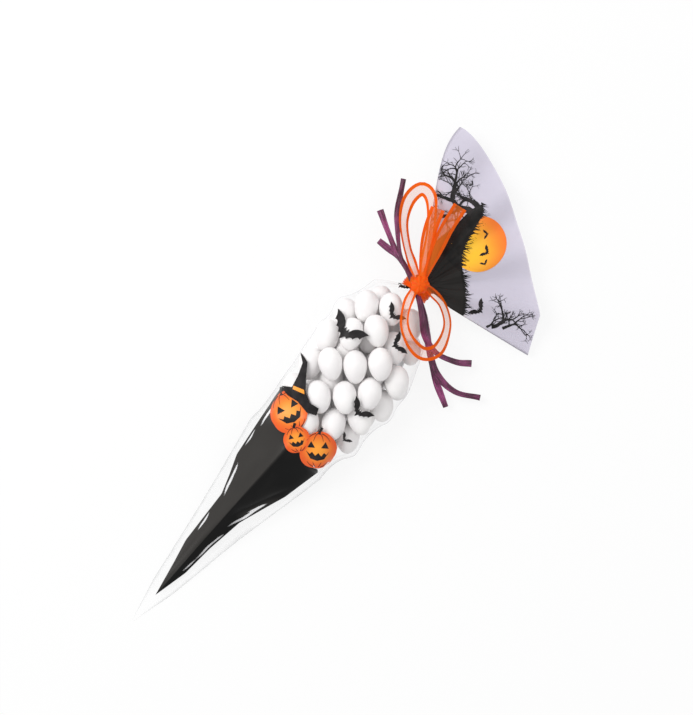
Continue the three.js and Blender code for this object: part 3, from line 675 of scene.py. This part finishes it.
def bag(found):
    cone = cone_rows(found)
    collar = np.array([cone[-1] + (COLLAR * share, 0, 0) for share in (0.5, 1)])
    rows = np.concatenate([cone, collar, flare_rows()])
    points = rows.reshape(-1, 3)
    # The painted white glints cut the black print away and whiten the film there.
    streak = glints(points)
    return piece(
        "printed_film", points, grid_faces(len(rows), AROUND, True), film_finish(),
        ["bag_film"], {
            "black_edge": np.minimum(black_edge(points), -streak),
            "milky": smooth(TIE_AT - 3, TIE_AT + 12, points[:, 0]),
            "glint": smooth(-0.5, 0.4, streak),
            "sheen": painted_sheen_of(rows),
            "under": under_pile(points),
        })


class Ground:
    """The tops of the pieces laid so far, as seen from above."""

    def __init__(self):
        self.trees = []

    def add(self, made):
        mesh = made.data
        mesh.calc_loop_triangles()
        corners = [v.co.copy() for v in mesh.vertices]
        triangles = [tuple(t.vertices) for t in mesh.loop_triangles]
        self.trees.append(BVHTree.FromPolygons(corners, triangles))

    def height(self, x, y):
        top = 0.0
        start = Vector(((x + TIP_X) * MM, y * MM, 0.3))
        for tree in self.trees:
            hit = tree.ray_cast(start, Vector((0, 0, -1)))[0]
            if hit is not None:
                top = max(top, hit.z / MM)
        return top


# Print

GRAIN = 1.0  # mm between the cuts that let a printed figure bend with the film
STEEPEST = 3.5  # mm: where the film falls off more than this between two cuts, nothing is laid on it

# Lift of each figure over the film, in mm: where two cross, one lies on the other
MOON_LIFT = 0.14
GRASS_LIFT = 0.2
TREE_LIFT = 0.22
BAT_LIFT = 0.2
MOON_BAT_LIFT = 0.26
PUMPKIN_LIFT = 0.45
FACE_LIFT = 0.55
LAYER_LIFT = 0.1
HAT_LIFT = 0.75
BAND_LIFT = 0.85


class Print:
    """Flat figures, cut finely and laid on the film."""

    def __init__(self, ground, lift):
        self.ground = ground
        self.lift = lift
        self.points, self.faces, self.out = [], [], []

    def fill(self, outline, middle=None, reach=1.0):
        """A filled figure. Its outline is in steps along and across from the tip."""
        made = bmesh.new()
        corners = [made.verts.new((x * STEP, y * STEP, 0)) for x, y in outline]
        made.faces.new(corners)
        bmesh.ops.triangulate(made, faces=made.faces[:])
        for axis, normal in ((0, (1, 0, 0)), (1, (0, 1, 0))):
            values = [v.co[axis] for v in made.verts]
            place = math.ceil(min(values) / GRAIN) * GRAIN
            while place < max(values):
                at = [0, 0, 0]
                at[axis] = place
                everything = made.verts[:] + made.edges[:] + made.faces[:]
                bmesh.ops.bisect_plane(made, geom=everything, plane_co=at, plane_no=normal)
                place += GRAIN
        made.verts.index_update()
        base = len(self.points)
        bare = set()
        for vertex in made.verts:
            x, y = vertex.co.x, vertex.co.y
            height = self.ground.height(x, y)
            if height <= 0:
                bare.add(vertex)
            self.points.append((x, y, height + self.lift))
            self.out.append(math.dist((x / STEP, y / STEP), middle) / reach if middle else 0)
        for face in made.faces:
            corners = [base + v.index for v in face.verts]
            heights = [self.points[k][2] for k in corners]
            if bare.intersection(face.verts) or max(heights) - min(heights) > STEEPEST:
                continue
            self.faces.append(corners if face.normal.z > 0 else corners[::-1])
        made.free()

    def stroke(self, route, widths):
        """A line that changes width, drawn along a route in steps."""
        route = np.asarray(route, float)
        way = np.gradient(route, axis=0)
        way /= np.maximum(np.linalg.norm(way, axis=1), 1e-6)[:, None]
        side = np.stack([-way[:, 1], way[:, 0]], axis=1) * np.asarray(widths, float)[:, None] / 2
        base = len(self.points)
        laid = []
        for at, off in zip(route, side):
            pair = [((at + aside) * STEP, self.ground.height(*((at + 2 * aside) * STEP)))
                    for aside in (off, -off)]
            if min(height for _, height in pair) <= 0:
                break
            laid.extend((x, y, self.ground.height(x, y) + self.lift) for (x, y), _ in pair)
        if len(laid) < 4:
            return False
        self.points.extend(laid)
        self.out.extend([0] * len(laid))
        for k in range(len(laid) // 2 - 1):
            a = base + 2 * k
            self.faces.append([a, a + 1, a + 3, a + 2])
        return len(laid) == 2 * len(route)

    def done(self, name, finish):
        used = sorted({k for face in self.faces for k in face})
        place = {k: number for number, k in enumerate(used)}
        points = [self.points[k] for k in used]
        faces = [[place[k] for k in face] for face in self.faces]
        piece(name, points, faces, finish, (), {"out": [self.out[k] for k in used]})


def placed(shape, at, scale, turn):
    cos, sin = math.cos(turn), math.sin(turn)
    return [(at[0] + scale * (x * cos - y * sin), at[1] + scale * (x * sin + y * cos))
            for x, y in shape]


def bow_of(start, middle, end, count=6):
    """A curved edge through three corners, without its last place."""
    start, middle, end = map(np.array, (start, middle, end))
    return [tuple((1 - t) ** 2 * start + 2 * t * (1 - t) * middle + t * t * end)
            for t in np.linspace(0, 1, count, endpoint=False)]


BAT_HALF = [
    (0, 0.06), (0.04, 0.1), (0.07, 0.24), (0.12, 0.1),
    *bow_of((0.14, 0.06), (0.3, 0.66), (1, 0.6), 10),
    *bow_of((1, 0.6), (0.82, 0.46), (0.76, 0.16)),
    *bow_of((0.76, 0.16), (0.6, 0.26), (0.5, -0.06)),
    *bow_of((0.5, -0.06), (0.36, 0.04), (0.25, -0.24)),
    *bow_of((0.25, -0.24), (0.14, -0.1), (0.07, -0.3)),
    (0, -0.46),
]
BAT = BAT_HALF + [(-x, y) for x, y in BAT_HALF[-2:0:-1]]


def bats(sheet, places):
    for x, y, size, turn in places:
        sheet.fill(placed(BAT, (x, y), size, math.radians(turn)))


def pumpkin_outline(at, radius, flatness, turn):
    """A flattened round with five lobes."""
    shape = []
    for k in range(60):
        angle = 2 * math.pi * k / 60
        bulge = 1 + 0.045 * abs(math.sin(5 * angle / 2))
        shape.append((bulge * math.cos(angle), flatness * bulge * math.sin(angle)))
    return placed(shape, at, radius, turn)


# Middle, radius, flatness and turn of each pumpkin
PUMPKINS = [((268, 22), 21, 0.86, 0.45), ((258, -25), 19, 0.9, -0.1), ((252, -2), 13.5, 0.92, 0.2)]
FACE_TURN = 0.75 - math.pi / 2
EYE = [(-0.2, -0.14), (0.2, -0.14), (0.02, 0.2)]
GRIN = [(-0.62, -0.05), (-0.42, -0.22), (-0.3, -0.1), (-0.12, -0.3), (0.04, -0.14), (0.2, -0.32),
        (0.34, -0.12), (0.46, -0.22), (0.62, -0.02), (0.36, -0.46), (0, -0.56), (-0.36, -0.46)]
STEM = [(0, 0.84), (0.04, 1.0), (0.16, 1.2)]


def pumpkins(ground, orange, black):
    body = Print(ground, PUMPKIN_LIFT)
    marks = Print(ground, FACE_LIFT)
    for layer, (at, radius, flatness, turn) in enumerate(PUMPKINS):
        body.lift = PUMPKIN_LIFT + LAYER_LIFT * layer
        marks.lift = FACE_LIFT + LAYER_LIFT * layer
        body.fill(pumpkin_outline(at, radius, flatness, turn), at, radius)
        turn += FACE_TURN
        for side in (-1, 1):
            eye = placed([(side * x, y) for x, y in EYE], (side * 0.36, 0.26), 1.0, 0)
            marks.fill(placed(eye, at, radius, turn))
        marks.fill(placed(GRIN, at, radius, turn))
        for rib in (-0.72, -0.3, 0.3, 0.72):
            for rise, low, high in ((0.9, 0.55, 1.35), (-0.92, 0.75, 1.3)):
                line = [(rib * math.cos(t), rise * math.sin(t)) for t in np.linspace(low, high, 9)]
                marks.stroke(placed(line, at, radius, turn), np.linspace(0.3, 0.8, 9))
        marks.stroke(placed(STEM, at, radius, turn), [3, 2.4, 2.8])
    body.done("pumpkin_print", orange)
    marks.done("pumpkin_face_print", black)


HAT = [(281, 46), (288, 36), (300, 39), (313, 44), (320, 54), (317, 41), (305, 32), (293, 22),
       (288, 12), (290, 2), (283, -1), (279, 8), (281, 22), (279, 34)]
HAT_BAND = [(287, 34), (290, 36), (294, 25), (291, 22)]


def hat(ground, black, orange):
    shape = Print(ground, HAT_LIFT)
    shape.fill(HAT)
    shape.done("hat_print", black)
    band = Print(ground, BAND_LIFT)
    band.fill(HAT_BAND)
    band.done("hat_band_print", orange)


def branch(sheet, at, heading, length, width, depth, bend):
    """A bent stroke that forks into thinner ones, as often as depth says."""
    steps = max(3, int(length / 1.6))
    route = [at]
    for _ in range(steps):
        heading += chance.uniform(-0.2, 0.2) + bend / steps
        x, y = route[-1]
        route.append((x + length / steps * math.cos(heading), y + length / steps * math.sin(heading)))
    narrow = width * 0.55
    whole = sheet.stroke(route, np.linspace(width, narrow, steps + 1))
    if depth == 0 or not whole:
        return
    for side in chance.choice([(-1, 1), (-1, 1), (-1, 0.4, 1)]):
        turn = side * chance.uniform(0.35, 0.8)
        branch(sheet, route[-1], heading + turn, length * chance.uniform(0.62, 0.84), narrow,
               depth - 1, chance.uniform(-0.9, 0.9))
    if depth > 1:
        turn = chance.choice((-1, 1)) * 0.9
        branch(sheet, route[len(route) // 2], heading + turn, length * 0.6, narrow * 0.8,
               depth - 2, 0.6)


# Foot, heading in degrees, length, width, forks and bend of each tree
TREES = [
    ((538, 17), 80, 24, 7.5, 5, -0.2), ((545, 15), 66, 17, 5.0, 5, 0.6),
    ((547, 15), 48, 11, 2.6, 4, 0.8), ((536, 40), 60, 15, 3.6, 4, -0.6),
    ((466, -73.5), -50, 14, 4.4, 4, 0.5), ((472, -83), -12, 12, 3.2, 4, -0.3),
    ((462, -70), -24, 10, 2.4, 3, 0.4),
]


def scenery(ground, black, hill):
    grass = Print(ground, GRASS_LIFT)
    grass.fill([(486, 24.6)] + HILL[5:15] + [(486, -15.7)])
    edge = HILL[8:]
    for start, end in zip(edge, edge[1:]):
        count = int(math.dist(start, end) / 1.3)
        for k in range(count):
            share = k / count
            at = (start[0] + (end[0] - start[0]) * share, start[1] + (end[1] - start[1]) * share)
            heading = math.radians(-58 + chance.uniform(-34, 34))
            length = chance.uniform(4, 9)
            tip = (at[0] + length * math.cos(heading), at[1] + length * math.sin(heading))
            back = (at[0] - 2 * math.cos(heading), at[1] - 2 * math.sin(heading))
            grass.stroke([back, at, tip], [1.6, 1.2, 0.15])
    grass.done("grass_print", hill)
    trees = Print(ground, TREE_LIFT)
    for at, heading, length, width, depth, bend in TREES:
        branch(trees, at, math.radians(heading), length, width, depth, bend)
    trees.done("tree_print", black)


# Middle along and across, half span and turn in degrees of each bat
BATS = [(364, 33, 21, -90), (314, -30, 14, -96), (388, -14, 12, -119), (408, 8, 12, -97),
        (436, 22, 9, -95), (284, -38, 7, -100), (470, -53, 10.5, 0)]
MOON_BATS = [(518, -20, 7, 10), (532, -8, 5, 50), (508, -26, 4.5, -20), (548, 44, 4, 40),
             (560, 36, 3.5, 10)]
MOON_AT = (519, -9)
MOON_HALVES = (29, 27)
MOON_PALEST = (507, -4)
MOON_FADE = 42  # steps from its palest place to its deepest colour


def printed(ground):
    black = ink_finish("black ink", linear(22, 21, 22), linear(46, 43, 44))
    orange = shaded_ink("pumpkin ink", linear(252, 160, 52), linear(236, 92, 30))
    moonlight = shaded_ink("moon ink", linear(252, 198, 48), linear(244, 122, 38))
    moon = Print(ground, MOON_LIFT)
    moon.fill([
        (MOON_AT[0] + MOON_HALVES[0] * math.cos(a), MOON_AT[1] + MOON_HALVES[1] * math.sin(a))
        for a in np.linspace(0, 2 * math.pi, 64, False)
    ], MOON_PALEST, MOON_FADE)
    moon.done("moon_print", moonlight)
    scenery(ground, black, ink_finish("hill ink", linear(16, 15, 15), linear(34, 33, 32)))
    pumpkins(ground, orange, black)
    hat(ground, black, orange)
    flock = Print(ground, BAT_LIFT)
    bats(flock, BATS)
    flock.lift = MOON_BAT_LIFT
    bats(flock, MOON_BATS)
    flock.done("bat_print", black)


# Ribbon and raffia

def catmull(route, count):
    """Places spaced evenly on a smooth curve through a route."""
    points = np.array(route, float)
    ends = np.vstack([2 * points[0] - points[1], points, 2 * points[-1] - points[-2]])
    dense = []
    for k in range(len(points) - 1):
        a, b, c, d = ends[k:k + 4]
        for t in np.linspace(0, 1, 24, endpoint=False):
            dense.append(0.5 * (2 * b + (c - a) * t + (2 * a - 5 * b + 4 * c - d) * t * t
                                + (3 * b - a - 3 * c + d) * t ** 3))
    dense.append(points[-1])
    dense = np.array(dense)
    run = np.concatenate([[0], np.cumsum(np.linalg.norm(np.diff(dense, axis=0), axis=1))])
    even = np.linspace(0, run[-1], count)
    return np.stack([np.interp(even, run, dense[:, k]) for k in (0, 1)], axis=1)


def lay_strip(ground, route, count, width_at, tilt_at, wish_at, section, clearance,
              pinned=None, crumple=None):
    """Stations of a strip over what is under it. A section gives its corners across and out."""
    centres = catmull([(TIE_AT + x, NECK_SIDE + y) for x, y in route], count)
    ways = np.gradient(centres, axis=0)
    ways /= np.linalg.norm(ways, axis=1)[:, None]
    shares = np.linspace(0, 1, count)
    needed = []
    for share, (x, y), (wx, wy) in zip(shares, centres, ways):
        flat = width_at(share) / 2 * math.cos(tilt_at(share))
        stood = width_at(share) / 2 * abs(math.sin(tilt_at(share)))
        top = max(ground.height(x - wy * flat * k, y + wx * flat * k) for k in (-1, -0.5, 0, 0.5, 1))
        needed.append(top + clearance + stood)
    needed = np.array(needed)
    held = np.array([bool(pinned and pinned(x, y)) for x, y in centres])
    wished = np.array([wish_at(share) for share in shares])
    heights = np.maximum(np.where(held, 0, wished), needed)
    for _ in range(int(count * count / 24)):  # enough for a slope to reach both ends
        eased = heights.copy()
        eased[1:-1] = (heights[:-2] + 2 * heights[1:-1] + heights[2:]) / 4
        eased[1:-1] = np.where(held[1:-1], heights[1:-1], np.maximum(needed[1:-1], eased[1:-1]))
        heights = eased
    rows = []
    for k, share in enumerate(shares):
        tilt = tilt_at(share)
        side = np.array([-ways[k][1], ways[k][0], 0])
        across = side * math.cos(tilt) + np.array([0, 0, math.sin(tilt)])
        face = np.cross(across, [ways[k][0], ways[k][1], 0])
        face /= -np.linalg.norm(face)
        middle = np.array([*centres[k], heights[k]])
        rows.append([
            middle + across * u + face * (v + (crumple(share, u) if crumple else 0))
            for u, v in section(width_at(share))
        ])
    return np.array(rows)


ACROSS = 12
SPREAD = np.linspace(-1, 1, ACROSS + 1)  # from one edge of the ribbon to the other
RIBBON_CLEARANCE = 0.6
LOOP_STATIONS = 80
TAIL_STATIONS = 40
WRAPS = 3
WRAP_STEPS = 48
WRAP_CRUSH = 0.8
KNOT_SIDES = 36
KNOT_RINGS = 20
KNOT_HALVES = (6, 5, 3.2)
KNOT_CRUSH = 0.92


def ribbon_section(width):
    return [(width * (k / ACROSS - 0.5), 0.0) for k in range(ACROSS + 1)]


UPPER_LOOP = [(4, 3), (9, 12), (16, 23), (26, 34), (38, 40), (48, 38.5), (47, 30), (33, 18), (18, 9),
              (6, 1.5)]
LOWER_LOOP = [(0, 1.5), (-12, -2), (-22.5, -9), (-28, -20), (-27.5, -30), (-19, -34.5), (-5, -29.5),
              (2.5, -19), (4, -8), (3.5, -1)]
TAILS = [[(5, 0.5), (20, 5), (38, 10.5), (55, 13.5)], [(5, 1.5), (18, 10), (32, 18), (45, 23)]]


class Cloth:
    """Grids of ribbon that make one piece."""

    def __init__(self):
        self.points, self.faces, self.across, self.crush = [], [], [], []

    def add(self, rows, across, crush, ring=False):
        """A grid, with a value across for each column and a crush for each row."""
        base = len(self.points)
        columns = rows.shape[1]
        self.points.extend(rows.reshape(-1, 3))
        faces = grid_faces(len(rows), columns, ring)
        self.faces.extend(tuple(base + k for k in face) for face in faces)
        self.across.extend(np.tile(across, len(rows)))
        self.crush.extend(np.repeat(crush, columns))


def opened(share):
    """How far the ribbon has spread at a share of a loop's length: not at all at the knot."""
    return float(smooth(0, 0.16, min(share, 1 - share)))


def standing(share):
    """A loop's tilt: steep on its way out and back, nearly flat at its far end."""
    return RIBBON_TILT * opened(share) * (1 - 0.75 * math.exp(-((share - 0.48) / 0.13) ** 2))


def widened(share):
    return BAND_WIDTH + (RIBBON_WIDTH - BAND_WIDTH) * share


def wrap_rows(number, over):
    """One turn of ribbon round the neck. Its upper half reaches over the strands."""
    tilt = (number - 1) * 0.35
    radius = NECK_DIAMETER / 2 + 1.6 + 0.25 * number
    wrap = []
    for k in range(WRAP_STEPS + 1):
        turn = 2 * math.pi * k / WRAP_STEPS
        lean = tilt * math.cos(turn) * 4
        raised = over - radius if math.sin(turn) > 0 else 0
        ring = []
        for j in range(ACROSS + 1):
            u = (j / ACROSS - 0.5) * BAND_WIDTH * 1.25
            out = radius + 0.35 * math.cos(3 * math.pi * j / ACROSS)
            ring.append((
                TIE_AT + u + lean,
                NECK_SIDE + out * math.cos(turn) * 1.1,
                NECK_RISE + (out + raised) * math.sin(turn)))
        wrap.append(ring)
    return np.array(wrap)


def knot_rows(rise):
    """A flattened ball with the folds of a pulled knot."""
    length, width, height = KNOT_HALVES
    rows = []
    for i in range(KNOT_RINGS + 1):
        up = math.pi * i / KNOT_RINGS
        ring = []
        for k in range(KNOT_SIDES):
            turn = 2 * math.pi * k / KNOT_SIDES
            swell = 1 + 0.09 * math.cos(7 * turn) * math.sin(up) + 0.07 * math.sin(5 * up + turn)
            ring.append((
                TIE_AT + BAND_WIDTH / 2 + length * swell * math.cos(turn) * math.sin(up),
                NECK_SIDE + width * swell * math.sin(turn) * math.sin(up),
                rise + height * swell * math.cos(up)))
        rows.append(ring)
    return np.array(rows)


def ribbon(ground, finish):
    beneath = max(ground.height(TIE_AT + x, NECK_SIDE + y) for x in (-2, 0, 2) for y in (-2, 0, 2))
    knot_rise = beneath + 2.2
    cloth = Cloth()
    for route in (UPPER_LOOP, LOWER_LOOP):
        rows = lay_strip(
            ground, route, LOOP_STATIONS,
            lambda share: widened(opened(share)),
            standing,
            lambda share: knot_rise * (1 - opened(share)),
            ribbon_section, RIBBON_CLEARANCE,
            crumple=lambda share, u: 0.35 * math.sin(u * 1.4 + share * 9) * (1.2 - opened(share)))
        cloth.add(rows, SPREAD, [0.75 * (1 - opened(s)) for s in np.linspace(0, 1, LOOP_STATIONS)])
    for number, route in enumerate(TAILS):
        rows = lay_strip(
            ground, route, TAIL_STATIONS,
            lambda share: widened(float(smooth(0, 0.6, share))),
            lambda share: 0.25 * math.sin(3 * share),
            lambda share: knot_rise * (1 - 0.25 * share * share) + (number * 2 - 1),
            ribbon_section, RIBBON_CLEARANCE,
            crumple=lambda share, u: 0.5 * math.sin(u * 0.9 + share * 5 + number) * share)
        cloth.add(rows, SPREAD, np.linspace(0.85, 0.6, TAIL_STATIONS))
    for number in range(WRAPS):
        rows = wrap_rows(number, knot_rise - 1.5 - NECK_RISE)
        cloth.add(rows, SPREAD, [WRAP_CRUSH] * len(rows))
    rows = knot_rows(knot_rise)
    folds = np.cos(5 * 2 * np.pi * np.arange(KNOT_SIDES) / KNOT_SIDES)
    cloth.add(rows, folds, [KNOT_CRUSH] * len(rows), ring=True)
    piece("organza_bow", cloth.points, cloth.faces, finish, ["ribbon_bow"],
          {"across": cloth.across, "crush": cloth.crush})


RAFFIA_ROUTES = [
    [(6.6, 38.2), (6.9, 30), (7.2, 22), (4.2, 12), (0.5, 4), (-4, -5), (-10, -14), (-21, -27), (-33, -43),
     (-42.8, -61.8)],
    [(21.4, 49.3), (14, 36), (8.2, 24), (4.2, 12), (0.5, 4), (-4, -5), (-10, -14), (-21, -28), (-31, -44),
     (-32, -60), (-24.3, -74.7)],
    [(45.5, 50.5), (27, 39), (10.5, 23), (4.2, 12), (0.5, 4), (-4, -5), (-11, -14), (-19, -24), (-22, -36),
     (-18, -49), (-11.9, -57.4)],
]
RAFFIA_STATIONS = 110
RAFFIA_CORNERS = 11
RAFFIA_CLEARANCE = 0.5
RAFFIA_UPPER_END = 13.0
RAFFIA_LOWER_END = 5.0
CROSSING = 0.37  # share of a strand's length at which it crosses the neck


def raffia_section(width):
    """A cupped strip with curled edges: its upper face, then its lower face back."""
    upper = []
    for k in range(RAFFIA_CORNERS):
        u = k / (RAFFIA_CORNERS - 1) * 2 - 1
        cup = 0.75 * (1 - u * u) + 0.18 * math.cos(7 * u)
        upper.append((u * width / 2, cup * width / RAFFIA_WIDTH + 0.16))
    lower = [(u, v - 0.32) for u, v in upper[::-1]]
    return upper + lower


def raffia_width(share, number):
    """A strand's width: drawn in where it crosses the neck, and uneven elsewhere."""
    away = abs(share - CROSSING)
    waist = 1 - 0.4 * (1 - float(smooth(0.03, 0.2, away)))
    wave = 0.14 * math.sin(share * 23 + number * 2) * float(smooth(0.05, 0.25, away))
    return RAFFIA_WIDTH * waist * (1 + wave)


def on_neck(x, y):
    return abs(x - TIE_AT) < BAND_WIDTH and abs(y - NECK_SIDE) < NECK_DIAMETER / 2 - 1


def raffia(ground, finish):
    for number, route in enumerate(RAFFIA_ROUTES):
        shift = (number - 1) * 0.8
        rows = lay_strip(
            ground, [(x, y + shift) for x, y in route], RAFFIA_STATIONS,
            lambda share: raffia_width(share, number),
            lambda share: 0.3 * math.sin(share * 14 + number * 2.2),
            lambda share: RAFFIA_UPPER_END + (RAFFIA_LOWER_END - RAFFIA_UPPER_END) * share,
            raffia_section, RAFFIA_CLEARANCE, pinned=on_neck,
            crumple=lambda share, u: 0.22 * math.sin(share * 31 + u * 2.1 + number))
        corners = rows.shape[1]
        faces = grid_faces(len(rows), corners, True)
        last = (len(rows) - 1) * corners
        for k in range(RAFFIA_CORNERS - 1):
            faces.append((k + 1, k, corners - 1 - k, corners - 2 - k))
            faces.append((last + k, last + k + 1, last + corners - 2 - k, last + corners - 1 - k))
        out = np.linspace(-1, 1, RAFFIA_CORNERS)
        made = piece(
            f"raffia_{number + 1}", rows.reshape(-1, 3), faces, finish,
            [f"raffia_strand_{number + 1}"], {
                "across": np.tile(np.concatenate([out, -out]), len(rows)) + number * 3.1,
                "along": np.repeat(np.linspace(0, 100, len(rows)), corners),
            })
        ground.add(made)


# Studio

FLOOR_HALF = 3.0  # m
FLOOR_GLOW = 0.86  # how far the floor is seen as plain white
SKY_LIGHT = 0.6
LAMPS = [("key", (-0.15, 0.85, 1.0), 0.7, 9.5), ("fill", (0.8, -0.5, 1.1), 0.9, 2.6)]  # m, m, W


def studio():
    sheet = bpy.data.meshes.new("studio_floor")
    corners = [(x * FLOOR_HALF, y * FLOOR_HALF, 0) for x, y in ((-1, -1), (1, -1), (1, 1), (-1, 1))]
    sheet.from_pydata(corners, [], [(0, 1, 2, 3)])
    floor = linked("studio_floor", sheet)
    finish = Finish("white floor")
    plain = finish.surface(Base_Color=linear(246, 246, 246), Roughness=0.9, Specular_IOR_Level=0.1)
    white = finish.node("Emission", None, {"Color": WHITE, "Strength": 1.0})
    sheet.materials.append(finish.done(finish.mixed(finish.looked_at() * FLOOR_GLOW, plain, white)))
    world = bpy.data.worlds.new("studio")
    bpy.context.scene.world = world
    sky = Finish("studio", world)
    soft, bright = (sky.node("Background", None, {"Color": WHITE, "Strength": light})
                    for light in (SKY_LIGHT, 1.0))
    sky.done(sky.mixed(sky.looked_at(), soft, bright), "OutputWorld")
    for name, place, size, power in LAMPS:
        lamp = bpy.data.lights.new(name, "AREA")
        lamp.energy = power
        lamp.size = size
        made = linked(name, lamp)
        made.location = place
        made.rotation_euler = (-Vector(place)).to_track_quat("-Z", "Y").to_euler()


bpy.context.scene.view_settings.view_transform = "Standard"
studio()
sweets = egg_places()
eggs(sweets)
ground = Ground()
ground.add(bag(sweets))
printed(ground)
raffia(ground, raffia_finish())
ribbon(ground, ribbon_finish())
